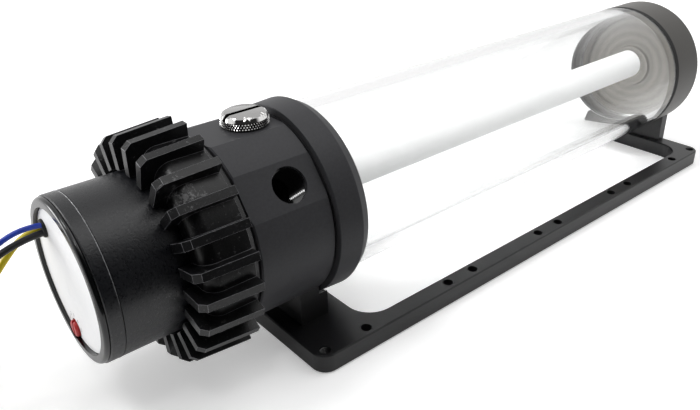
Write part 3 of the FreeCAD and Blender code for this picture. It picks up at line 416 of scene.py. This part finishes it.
knurl, given = new_tree("diamond_knurl", {"Radius": "Float", "Teeth": "Int", "Rows": "Int", "Step": "Float",
                                          "Width": "Float", "Height": "Float", "Finish": "Material"})
rise = add(knurl, "ShaderNodeCombineXYZ", {"Z": given["Step"]})
rows = add(knurl, "GeometryNodeMeshLine", {"Count": given["Rows"], "Offset": rise.outputs["Vector"]})
half_tooth = add(knurl, "ShaderNodeMath", {0: math.pi, 1: given["Teeth"]}, operation="DIVIDE")
row = add(knurl, "GeometryNodeInputIndex")
shift = add(knurl, "ShaderNodeMath", {0: row.outputs["Index"], 1: half_tooth.outputs["Value"]},
            operation="MULTIPLY")
shift = add(knurl, "ShaderNodeCombineXYZ", {"Z": shift.outputs["Value"]})
shift = add(knurl, "FunctionNodeEulerToRotation", {"Euler": shift.outputs["Vector"]})
band = add(knurl, "GeometryNodeMeshCircle", {"Vertices": given["Teeth"], "Radius": given["Radius"]})
stack = add(knurl, "GeometryNodeInstanceOnPoints",
            {"Points": rows.outputs["Mesh"], "Instance": band.outputs["Mesh"],
             "Rotation": shift.outputs["Rotation"]})
spots = add(knurl, "GeometryNodeRealizeInstances", {"Geometry": stack.outputs["Instances"]})
where = add(knurl, "GeometryNodeInputPosition")
where = add(knurl, "ShaderNodeSeparateXYZ", {"Vector": where.outputs["Position"]})
facing = add(knurl, "ShaderNodeMath", {0: where.outputs["Y"], 1: where.outputs["X"]}, operation="ARCTAN2")
facing = add(knurl, "ShaderNodeCombineXYZ", {"Y": math.pi / 2, "Z": facing.outputs["Value"]})
facing = add(knurl, "FunctionNodeEulerToRotation", {"Euler": facing.outputs["Vector"]})
tooth = add(knurl, "GeometryNodeMeshCone",
            {"Vertices": 4, "Radius Bottom": given["Width"], "Depth": given["Height"]})
teeth = add(knurl, "GeometryNodeInstanceOnPoints",
            {"Points": spots.outputs["Geometry"], "Instance": tooth.outputs["Mesh"],
             "Rotation": facing.outputs["Rotation"]})
close_tree(knurl, teeth.outputs["Instances"], given["Finish"])

# Corners and faces are picked by their place, to within a hair.
hair = 0.0001
plug_foot = 0.0268
shank_radius, root_radius = 0.0065, 0.00575
shank_end = plug_foot + 0.0084
band_inside = 0.0083
band_top = plug_foot + 0.0115
steeper = 0.0011
slot_floor = 0.011
fill_plug_sink = 0.0008
plug_thread = {"Radius": root_radius, "Ridge": 0.00065, "Flank": port_flank, "Pitch": port_pitch,
               "Turns": 4.0, "Finish": nickel}
plug_thread_start = port_start + port_pitch * 4.5
plug_knurl = {"Radius": 0.0084, "Teeth": 54, "Rows": 3, "Step": 0.00085, "Width": 0.0005, "Height": 0.00035,
              "Finish": burnished}
knurl_start = plug_foot + 0.0088
for node, port in (("stop_plug", "top_port"), ("fill_plug", "fill_port")):
    plug = finished(node, node, nickel, edge=0.0002)
    spot = ports[port]
    if node == "fill_plug":
        spot = spot @ Matrix.Translation((0, 0, -fill_plug_sink))
    to_local = spot.inverted()
    for corner in plug.data.vertices:
        local = to_local @ corner.co
        if local.xy.length < shank_radius + hair / 2 and local.z < shank_end:
            share = root_radius / shank_radius
            corner.co = spot @ Vector((local.x * share, local.y * share, local.z))
        if local.xy.length > band_inside and local.z > band_top:
            corner.co = spot @ Vector((local.x, local.y, local.z - steeper))
    plug.data.update()
    plug.data.materials.append(shaded_nickel)
    plug.data.materials.append(burnished)
    # The knurl band and the slot get the darker nickel as painted shade, and the chamfer the burnished one.
    for face in plug.data.polygons:
        local, facing = to_local @ face.center, to_local.to_3x3() @ face.normal
        above = local.z - plug_foot - slot_floor
        in_slot = above > -hair and (abs(facing.z) < 0.2 or above < hair)
        if local.xy.length > band_inside or in_slot:
            face.material_index = 1
        elif above > 0 and facing.z < 0.9:
            face.material_index = 2
    grown(f"{node}_thread", thread, plug_thread, ports[port] @ Matrix.Translation((0, 0, plug_thread_start)),
          node)
    grown(f"{node}_knurl", knurl, plug_knurl, spot @ Matrix.Translation((0, 0, knurl_start)),
          node)

# Lock ring: moulded from black glass-filled nylon, with tall grip ribs that taper to the front. The fibres
# leave a grainy, greyish skin, drawn coarser than it is, and handling leaves pale scuffs. Its front is set
# further back than the solid's, with lower rib ends, and the rim beside the pump top slopes.
nylon, tree, place = new_material("glass_filled_black_nylon")
fibre_length, fibre_depth, gloss_patch, scuff_width = 0.0007, 0.0001, 0.006, 0.002
knocked_spot, knock_core, knock_reach = (-0.1702, 0.0171, 0.0782), 0.0015, 0.009
fibre = add(tree, "ShaderNodeTexNoise", {"Vector": place, "Scale": 1 / fibre_length, "Detail": 4.0,
                                         "Roughness": 0.7})
tone = add(tree, "ShaderNodeMix", {"Factor": fibre.outputs["Fac"], "A": srgb("#050506"),
                                   "B": srgb("#131315")}, data_type="RGBA")
flake = add(tree, "ShaderNodeMapRange", {"Value": fibre.outputs["Fac"], "From Min": 0.6, "From Max": 0.72,
                                         "To Min": 0.0, "To Max": 0.2})
scuff = add(tree, "ShaderNodeTexNoise", {"Vector": place, "Scale": 1 / scuff_width, "Detail": 5.0,
                                         "Roughness": 0.75})
knock = add(tree, "ShaderNodeVectorMath", {0: place, 1: knocked_spot}, operation="DISTANCE")
knock = add(tree, "ShaderNodeMapRange", {"Value": knock.outputs["Value"], "From Min": knock_core,
                                         "From Max": knock_reach, "To Min": 0.16, "To Max": 0.0})
scrape = add(tree, "ShaderNodeMath", {0: scuff.outputs["Fac"], 1: knock.outputs["Result"]}, operation="ADD")
scrape = add(tree, "ShaderNodeMapRange", {"Value": scrape.outputs["Value"], "From Min": 0.62,
                                          "From Max": 0.72, "To Min": 0.0, "To Max": 0.6})
pale = add(tree, "ShaderNodeMath", {0: flake.outputs["Result"], 1: scrape.outputs["Result"]},
           operation="MAXIMUM")
scuffed = add(tree, "ShaderNodeMix", {"Factor": pale.outputs["Value"], "A": tone.outputs[2],
                                      "B": srgb("#8d8d8e")}, data_type="RGBA")
patch = add(tree, "ShaderNodeTexNoise", {"Vector": place, "Scale": 1 / gloss_patch, "Detail": 3.0})
gloss = add(tree, "ShaderNodeMapRange", {"Value": patch.outputs["Fac"], "To Min": 0.22, "To Max": 0.42})
skin = add(tree, "ShaderNodeBump", {"Height": fibre.outputs["Fac"], "Strength": 0.5, "Distance": fibre_depth})
close_material(tree, {"Base Color": scuffed.outputs[2], "Roughness": gloss.outputs["Result"],
                      "Specular IOR Level": 0.4, "Normal": skin.outputs["Normal"]})

# The broken edges get a paler, smoother copy of the nylon: painted highlights along the edges.
edge_highlight_nylon, tree, place = new_material("nylon_edge_painted_highlight")
edge_highlight_patch = 0.0012
highlight_breakup = add(tree, "ShaderNodeTexNoise", {"Vector": place, "Scale": 1 / edge_highlight_patch, "Detail": 3.0})
tone = add(tree, "ShaderNodeMix", {"Factor": highlight_breakup.outputs["Fac"], "A": srgb("#4c4c50"),
                                   "B": srgb("#a4a4a8")}, data_type="RGBA")
close_material(tree, {"Base Color": tone.outputs[2], "Roughness": 0.28})
lock_ring = finished("lock_ring", "lock_ring", nylon, edge=0.0006, painted_edges=edge_highlight_nylon)
ring_front, ring_rear = -0.1815, -0.153
ring_set_back = 0.0042
shoulder_end = ring_front + 0.0101
shoulder_inside, shoulder_front_radius = 0.035, 0.0391
rib_crest_inside = 0.042
rib_front = ring_front + 0.0064
rib_front_radius = 0.0411
rim_inside, rim_radius = 0.036, 0.0359


def ring_rule(station, radius):
    if station > ring_rear - hair and radius > rim_inside:
        return station, rim_radius
    if station > shoulder_end:
        return station, radius
    if radius > rib_crest_inside:
        return rib_front, rib_front_radius
    if station < ring_front + hair and radius > shoulder_inside:
        return station + ring_set_back, shoulder_front_radius
    return station + ring_set_back, radius


reshape(lock_ring, ring_rule)

# Motor can: moulded from black plastic in a spark-eroded mould, whose grain breaks the shine into specks. The
# grain is drawn coarser than it is, so that it shows. The lock ring holds the can against the pump top.
moulded, tree, place = new_material("moulded_black_plastic")
spark_width, spark_depth = 0.0008, 0.00015
spark = add(tree, "ShaderNodeTexNoise", {"Vector": place, "Scale": 1 / spark_width, "Detail": 3.0,
                                         "Roughness": 0.7})
tone = add(tree, "ShaderNodeMix", {"Factor": spark.outputs["Fac"], "A": srgb("#020305"),
                                   "B": srgb("#1a1b20")}, data_type="RGBA")
gloss = add(tree, "ShaderNodeMapRange", {"Value": spark.outputs["Fac"], "From Min": 0.3, "From Max": 0.7,
                                         "To Min": 0.24, "To Max": 0.42})
skin = add(tree, "ShaderNodeBump", {"Height": spark.outputs["Fac"], "Strength": 0.6, "Distance": spark_depth})
close_material(tree, {"Base Color": tone.outputs[2], "Roughness": gloss.outputs["Result"],
                      "Normal": skin.outputs["Normal"]})
finished("motor_can", "frame", moulded, edge=0.0002)

# Seam: the thin line of flash where the two halves of the can's mould met. It is trimmed by knife, which
# leaves it ragged, and its upper side is painted pale: a painted highlight, broken up by noise.
seam_flash_highlit, tree, place = new_material("trimmed_flash_painted_highlight")
knife_fray = 0.001
highlight_start_z, highlight_full_z = 0.05, 0.075
highlight_breakup = add(tree, "ShaderNodeTexNoise", {"Vector": place, "Scale": 1 / knife_fray, "Detail": 2.0})
height = add(tree, "ShaderNodeSeparateXYZ", {"Vector": place})
seam_top_highlight = add(tree, "ShaderNodeMapRange", {"Value": height.outputs["Z"], "From Min": highlight_start_z,
                                       "From Max": highlight_full_z})
seam_top_highlight = add(tree, "ShaderNodeMath", {0: seam_top_highlight.outputs["Result"], 1: highlight_breakup.outputs["Fac"]}, operation="MULTIPLY")
tone = add(tree, "ShaderNodeMix", {"Factor": seam_top_highlight.outputs["Value"], "A": srgb("#17181b"),
                                   "B": srgb("#f0f1f4")}, data_type="RGBA")
close_material(tree, {"Base Color": tone.outputs[2], "Roughness": 0.45})
seam_x = -0.197
seam = {"Radius": 0.029, "Ridge": 0.00015, "Flank": 1.0, "Pitch": 0.0, "Turns": 1.0, "Finish": seam_flash_highlit}
round_can = Matrix.Translation((seam_x, axis_y, axis_z)) @ Matrix.Rotation(math.pi / 2, 4, "Y")
grown("can_seam", thread, seam, round_can, "frame")

# Rear cover and bush: a glossy black moulding closes the can, and a rubber bush in it holds the leads. The
# hole that they come through is drawn in until it just holds them.
polished, tree, place = new_material("polished_black_plastic")
flow = add(tree, "ShaderNodeTexNoise", {"Vector": place, "Scale": 1 / flow_width, "Detail": 2.0})
tone = add(tree, "ShaderNodeMix", {"Factor": flow.outputs["Fac"], "A": srgb("#060607"),
                                   "B": srgb("#0d0d0f")}, data_type="RGBA")
gloss = add(tree, "ShaderNodeMapRange", {"Value": flow.outputs["Fac"], "To Min": 0.12, "To Max": 0.24})
close_material(tree, {"Base Color": tone.outputs[2], "Roughness": gloss.outputs["Result"]})
finished("rear_cover", "frame", polished, edge=0.0002)
bush_centre, bush_radius = Vector((0.0575, 0.0623)), 0.0041
leads_centre, leads_radius = Vector((0.0567, 0.0622)), 0.0032


def close_round_leads(piece):
    for corner in piece.data.vertices:
        offset = corner.co.yz - bush_centre
        if offset.length < bush_radius + hair:
            corner.co.yz = leads_centre + offset * (leads_radius / bush_radius)


close_round_leads(finished("wire_grommet", "frame", rubber, edge=0.0002))

# Works inside the can: a drawn steel cup and its post keep the rotor of bonded ferrite in the coolant. Round
# the cup stand the core, stacked from steel sheets, and its copper coils, with the circuit board behind them.
# Drawn steel is a bright grey with soft streaks.
drawn, tree, place = new_material("drawn_stainless_steel")
draw_mark = 0.0015
streak = add(tree, "ShaderNodeTexNoise", {"Vector": place, "Scale": 1 / draw_mark, "Detail": 3.0})
gloss = add(tree, "ShaderNodeMapRange", {"Value": streak.outputs["Fac"], "To Min": 0.22, "To Max": 0.38})
close_material(tree, {"Base Color": srgb("#b8b8b6"), "Metallic": 1.0, "Roughness": gloss.outputs["Result"]})
for node in ("isolation_cup", "bearing_post"):
    finished(node, "frame", drawn)

# Stacked sheets show as fine dark lines.
stacked, tree, place = new_material("stacked_core_steel")
sheet_thickness = 0.0005
sheets = add(tree, "ShaderNodeTexWave", {"Vector": place, "Scale": wave_unit / sheet_thickness},
             bands_direction="X")
tone = add(tree, "ShaderNodeMix", {"Factor": sheets.outputs["Fac"], "A": srgb("#3a3a3c"),
                                   "B": srgb("#77777a")}, data_type="RGBA")
close_material(tree, {"Base Color": tone.outputs[2], "Metallic": 0.9, "Roughness": 0.45})
finished("stator_core", "frame", stacked)

# Enamelled wire, wound side by side, shows as copper lines with dark gaps.
enamel, tree, place = new_material("enamelled_copper_winding")
winding_wire = 0.0005
strands = add(tree, "ShaderNodeTexWave", {"Vector": place, "Scale": wave_unit / winding_wire},
              bands_direction="X")
tone = add(tree, "ShaderNodeMix", {"Factor": strands.outputs["Fac"], "A": srgb("#6e3416"),
                                   "B": srgb("#c06a32")}, data_type="RGBA")
close_material(tree, {"Base Color": tone.outputs[2], "Metallic": 0.8, "Roughness": 0.35})
finished("stator_coils", "frame", enamel)

# Solder mask lets the laminate's weave show through as a mottled green.
masked, tree, place = new_material("green_solder_mask")
glass_weave = 0.001
weave = add(tree, "ShaderNodeTexNoise", {"Vector": place, "Scale": 1 / glass_weave, "Detail": 2.0})
tone = add(tree, "ShaderNodeMix", {"Factor": weave.outputs["Fac"], "A": srgb("#12401f"),
                                   "B": srgb("#1b5a2d")}, data_type="RGBA")
close_material(tree, {"Base Color": tone.outputs[2], "Roughness": 0.35})
finished("circuit_board", "frame", masked)

# Ferrite powder in plastic looks a speckled dark grey, with the specks drawn coarser than they are.
magnet, tree, place = new_material("bonded_ferrite")
powder_speck = 0.0008
speck = add(tree, "ShaderNodeTexNoise", {"Vector": place, "Scale": 1 / powder_speck, "Detail": 3.0})
tone = add(tree, "ShaderNodeMix", {"Factor": speck.outputs["Fac"], "A": srgb("#202022"),
                                   "B": srgb("#38383b")}, data_type="RGBA")
close_material(tree, {"Base Color": tone.outputs[2], "Roughness": 0.5})
finished("rotor", "rotor", magnet)

# Rear label: a matt white film, die cut and stuck in the cover's recess. It is left bare, and its hole is
# drawn in round the leads like the bush's.
film, tree, place = new_material("matt_white_film")
film_fleck = 0.0015
fleck = add(tree, "ShaderNodeTexNoise", {"Vector": place, "Scale": 1 / film_fleck, "Detail": 2.0})
tone = add(tree, "ShaderNodeMix", {"Factor": fleck.outputs["Fac"], "A": srgb("#f6f7f9"),
                                   "B": srgb("#ffffff")}, data_type="RGBA")
close_material(tree, {"Base Color": tone.outputs[2], "Roughness": 0.5})
close_round_leads(finished("rear_label", "frame", film))

# Dial numbers: one to five, screen printed on the film in dark ink. The grain that the screen leaves is drawn
# coarser than it is. They stand on an arc round the dial's hole, each upright and just above the film.
ink, tree, place = new_material("dark_screen_print")
screen_mesh = 0.0004
print_grain = add(tree, "ShaderNodeTexNoise", {"Vector": place, "Scale": 1 / screen_mesh, "Detail": 2.0})
tone = add(tree, "ShaderNodeMix", {"Factor": print_grain.outputs["Fac"], "A": srgb("#1d1f24"),
                                   "B": srgb("#383b42")}, data_type="RGBA")
close_material(tree, {"Base Color": tone.outputs[2], "Roughness": 0.55})
print_x, dial_y, dial_z = -0.20196, 0.0475, 0.0268
facing_out = Matrix(((0, 0, -1, print_x), (-1, 0, 0, dial_y), (0, 1, 0, dial_z), (0, 0, 0, 1)))
number_circle = 0.0053
number_height = 0.0019
arc_start, arc_step = 195, 35
for number in range(1, 6):
    letters = bpy.data.curves.new(f"dial_number_{number}", "FONT")
    letters.body = str(number)
    letters.size = number_height
    letters.align_x = "CENTER"
    letters.align_y = "CENTER"
    angle = math.radians(arc_start - arc_step * number)
    on_arc = Vector((number_circle * math.cos(angle), number_circle * math.sin(angle), 0))
    flat = bpy.data.objects.new(f"dial_number_{number}", letters)
    mesh = bpy.data.meshes.new_from_object(flat)
    mesh.transform(facing_out @ Matrix.Translation(on_arc))
    mesh.materials.clear()
    mesh.materials.append(ink)
    printed = bpy.data.objects.new(f"dial_number_{number}_print", mesh)
    bpy.context.scene.collection.objects.link(printed)
    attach(printed, "frame")

# Speed dial: a small knob moulded from plastic that is red all through, with a satin skin and a slot for a
# screwdriver. It turns in a hole of the rear cover, between two stops.
red, tree, place = new_material("red_moulded_plastic")
pigment_swirl = 0.002
flow = add(tree, "ShaderNodeTexNoise", {"Vector": place, "Scale": 1 / pigment_swirl, "Detail": 2.0})
tone = add(tree, "ShaderNodeMix", {"Factor": flow.outputs["Fac"], "A": srgb("#a81414"),
                                   "B": srgb("#c22020")}, data_type="RGBA")
close_material(tree, {"Base Color": tone.outputs[2], "Roughness": 0.4})
finished("speed_dial", "speed_dial", red)

# Leads: stranded wire in soft coloured sheaths, out of the bush, down to the floor, round the coil and on to
# the connectors. Black and yellow carry the supply, and blue the speed signal. A nylon tie holds the coil.
# Sheaths and nylon have the same soft, satin shine.
hard_nylon, tree, place = new_material("moulded_black_nylon")
nylon_grain = 0.0006
grain = add(tree, "ShaderNodeTexNoise", {"Vector": place, "Scale": 1 / nylon_grain, "Detail": 2.0})
tone = add(tree, "ShaderNodeMix", {"Factor": grain.outputs["Fac"], "A": srgb("#0c0c0d"),
                                   "B": srgb("#1c1c1d")}, data_type="RGBA")
close_material(tree, {"Base Color": tone.outputs[2], "Roughness": 0.4})
connectors = {node: finished(node, "frame", hard_nylon, edge=0.0003)
              for node in ("power_connector", "tacho_connector")}
finished("coil_tie", "frame", hard_nylon, edge=0.0002)

sheath_patch = 0.0015
sheath_colours = {"black": ("#0c0c0d", "#1a1a1b"), "yellow": ("#c4ae00", "#d9c614"),
                  "blue": ("#16309a", "#2247bd")}
coil_centre = Vector((-0.246, 0.0855, 0))
coil_low = 0.0023
coil_step = 0.0024
coil_turns = 3
coil_high = coil_low + coil_step * coil_turns
turn_points = 12
spline_draw_in = (3 + math.cos(2 * math.pi / turn_points)) / 4
coil_leave_y, plug_lane_y, plug_mid_z = 0.0925, 0.1015, 0.005
lead_routes = {
    "black": {"diameter": 0.0023, "length": 0.42, "coil_radius": 0.0156, "plug": (-0.2616, 0.1095),
              "drop": [(-0.2024, 0.0557, 0.0612), (-0.2125, 0.0557, 0.061), (-0.226, 0.0545, 0.055),
                       (-0.24, 0.0535, 0.041), (-0.252, 0.056, 0.022), (-0.26, 0.064, 0.007),
                       (-0.2616, 0.075, 0.0023)]},
    "yellow": {"diameter": 0.0023, "length": 0.36, "coil_radius": 0.0129, "plug": (-0.2589, 0.1095),
               "drop": [(-0.2024, 0.0586, 0.0615), (-0.2085, 0.0586, 0.0613), (-0.217, 0.0593, 0.053),
                        (-0.229, 0.0602, 0.039), (-0.243, 0.0615, 0.021), (-0.254, 0.067, 0.007),
                        (-0.2589, 0.075, 0.0023)]},
    "blue": {"diameter": 0.0018, "length": 0.31, "coil_radius": 0.0102, "plug": (-0.2472, 0.1075),
             "drop": [(-0.2024, 0.0557, 0.0639), (-0.2095, 0.0557, 0.0654), (-0.221, 0.0565, 0.06),
                      (-0.23, 0.062, 0.049), (-0.24, 0.0675, 0.03), (-0.249, 0.07, 0.01),
                      (-0.2562, 0.0755, 0.0023)]},
}
for name, laid in lead_routes.items():
    sheath, tree, place = new_material(f"{name}_soft_sheath")
    dark, light = sheath_colours[name]
    patch = add(tree, "ShaderNodeTexNoise", {"Vector": place, "Scale": 1 / sheath_patch, "Detail": 2.0})
    tone = add(tree, "ShaderNodeMix", {"Factor": patch.outputs["Fac"], "A": srgb(dark), "B": srgb(light)},
               data_type="RGBA")
    close_material(tree, {"Base Color": tone.outputs[2], "Roughness": 0.42})
    wide = laid["coil_radius"] / spline_draw_in
    lane = coil_centre.x - laid["coil_radius"]
    plug_lane, plug_face = laid["plug"]
    route = laid["drop"] + [(lane, coil_centre.y, coil_low)]
    for step in range(1, coil_turns * turn_points):
        angle = math.pi - 2 * math.pi * step / turn_points
        route.append(coil_centre + Vector((wide * math.cos(angle), wide * math.sin(angle),
                                           coil_low + coil_step * step / turn_points)))
    route += [(lane, coil_centre.y, coil_high), (lane, coil_leave_y, coil_high),
              (plug_lane, plug_lane_y, plug_mid_z), (plug_lane, plug_face, plug_mid_z)]
    line = bpy.data.curves.new(f"{name}_lead", "CURVE")
    line.dimensions = "3D"
    line.bevel_depth = laid["diameter"] / 2
    line.bevel_resolution = 4
    line.use_fill_caps = True
    spline = line.splines.new("NURBS")
    spline.points.add(len(route) - 1)
    for point, here in zip(spline.points, route):
        point.co = (*here, 1)
    spline.order_u = 3
    spline.use_endpoint_u = True
    spline.resolution_u = 6
    line.materials.append(sheath)
    lead = bpy.data.objects.new(f"{name}_lead", line)
    bpy.context.scene.collection.objects.link(lead)
    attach(lead, "frame")
    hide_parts(f"{name}_wire", "wire_coil")

# Floor: a plain sheet of pale paper under the part. What the camera, metal and clear plastic see of it is
# lifted towards white.
seen_lift, mirrored_lift = 0.33, 0.1
paper, tree, place = new_material("pale_floor")
path = add(tree, "ShaderNodeLightPath")
seen = add(tree, "ShaderNodeMath", {0: path.outputs["Is Camera Ray"], 1: path.outputs["Is Transmission Ray"]},
           operation="MAXIMUM")
shown = add(tree, "ShaderNodeMath", {0: seen.outputs["Value"], 1: seen_lift}, operation="MULTIPLY")
mirrored = add(tree, "ShaderNodeMath", {0: path.outputs["Is Glossy Ray"], 1: mirrored_lift},
               operation="MULTIPLY")
lift = add(tree, "ShaderNodeMath", {0: shown.outputs["Value"], 1: mirrored.outputs["Value"]},
           operation="MAXIMUM")
sheet = add(tree, "ShaderNodeBsdfDiffuse", {"Color": srgb("#f8f8f8")})
glow = add(tree, "ShaderNodeEmission", {"Color": srgb("#ffffff"), "Strength": lift.outputs["Value"]})
both = add(tree, "ShaderNodeAddShader", {0: sheet.outputs["BSDF"], 1: glow.outputs["Emission"]})
add(tree, "ShaderNodeOutputMaterial", {"Surface": both.outputs["Shader"]})
ground = bpy.data.meshes.new("floor")
front, back, side, below = -0.1, 1.2, 1.2, -0.0002
corners = [(-side, front, below), (side, front, below), (side, back, below), (-side, back, below)]
ground.from_pydata(corners, [], [(0, 1, 2, 3)])
ground.materials.append(paper)
floor = bpy.data.objects.new("floor", ground)
bpy.context.scene.collection.objects.link(floor)

# Light: a pale room that is dark on the side where nothing stands, with a broad soft lamp overhead, a smaller
# one behind the pump, a small one that reaches into the near port, and a low one that lights the label. What
# the camera and clear plastic see of the room is white.
room_light, dark_light = 0.88, 0.02
dark_way, dark_start, dark_full = (-0.42, -0.906, 0.05), 0.3, 0.58
world = bpy.data.worlds.new("studio")
bpy.context.scene.world = world
world.use_nodes = True
tree = world.node_tree
tree.nodes.clear()
path = add(tree, "ShaderNodeLightPath")
seen = add(tree, "ShaderNodeMath", {0: path.outputs["Is Camera Ray"], 1: path.outputs["Is Transmission Ray"]},
           operation="MAXIMUM")
towards = add(tree, "ShaderNodeTexCoord")
dark_side = add(tree, "ShaderNodeVectorMath", {0: towards.outputs["Generated"], 1: dark_way},
                operation="DOT_PRODUCT")
room = add(tree, "ShaderNodeMapRange", {"Value": dark_side.outputs["Value"], "From Min": dark_start,
                                        "From Max": dark_full, "To Min": room_light, "To Max": dark_light})
shown = add(tree, "ShaderNodeMix", {"Factor": seen.outputs["Value"], "A": room.outputs["Result"], "B": 1.0})
sky = add(tree, "ShaderNodeBackground", {"Color": srgb("#ffffff"), "Strength": shown.outputs["Result"]})
add(tree, "ShaderNodeOutputWorld", {"Surface": sky.outputs["Background"]})

lamps = {
    "overhead": {"strength": 0.4, "spread": 40, "source": (0.33, -0.16, 0.93)},
    "behind_pump": {"strength": 0.6, "spread": 14, "source": (-0.36, 0.28, 0.89)},
    "port_side": {"strength": 0.17, "spread": 6, "source": (-0.19, -0.27, 0.95)},
    "pump_side": {"strength": 1.8, "spread": 30, "source": (-0.7, 0.7, 0.1)},
}
for name, lamp in lamps.items():
    sun = bpy.data.lights.new(name, "SUN")
    sun.energy = lamp["strength"]
    sun.angle = math.radians(lamp["spread"])
    stand = bpy.data.objects.new(name, sun)
    stand.rotation_euler = Vector(lamp["source"]).to_track_quat("Z", "Y").to_euler()
    bpy.context.scene.collection.objects.link(stand)

# Camera: where the photograph was taken from, above the floor at the pump's end. Its place, turn and lens
# were solved from the rail's holes.
sensor_width = 36
picture_width, focal_pixels = 700, 708.19
heading, dip, roll = math.radians(50.856), math.radians(28.182), math.radians(-1.62)
camera_place = (-0.25167, -0.16327, 0.17571)
upright = math.pi / 2
view = bpy.data.cameras.new("camera")
view.sensor_width = sensor_width
view.lens = sensor_width * focal_pixels / picture_width
view.clip_start = 0.01
camera = bpy.data.objects.new("camera", view)
turn = Matrix.Rotation(heading - upright, 4, "Z") @ Matrix.Rotation(upright - dip, 4, "X")
camera.matrix_world = Matrix.Translation(camera_place) @ turn @ Matrix.Rotation(roll, 4, "Z")
bpy.context.scene.collection.objects.link(camera)
bpy.context.scene.camera = camera
bpy.context.scene.view_settings.view_transform = "Standard"

bpy.context.view_layer.update()
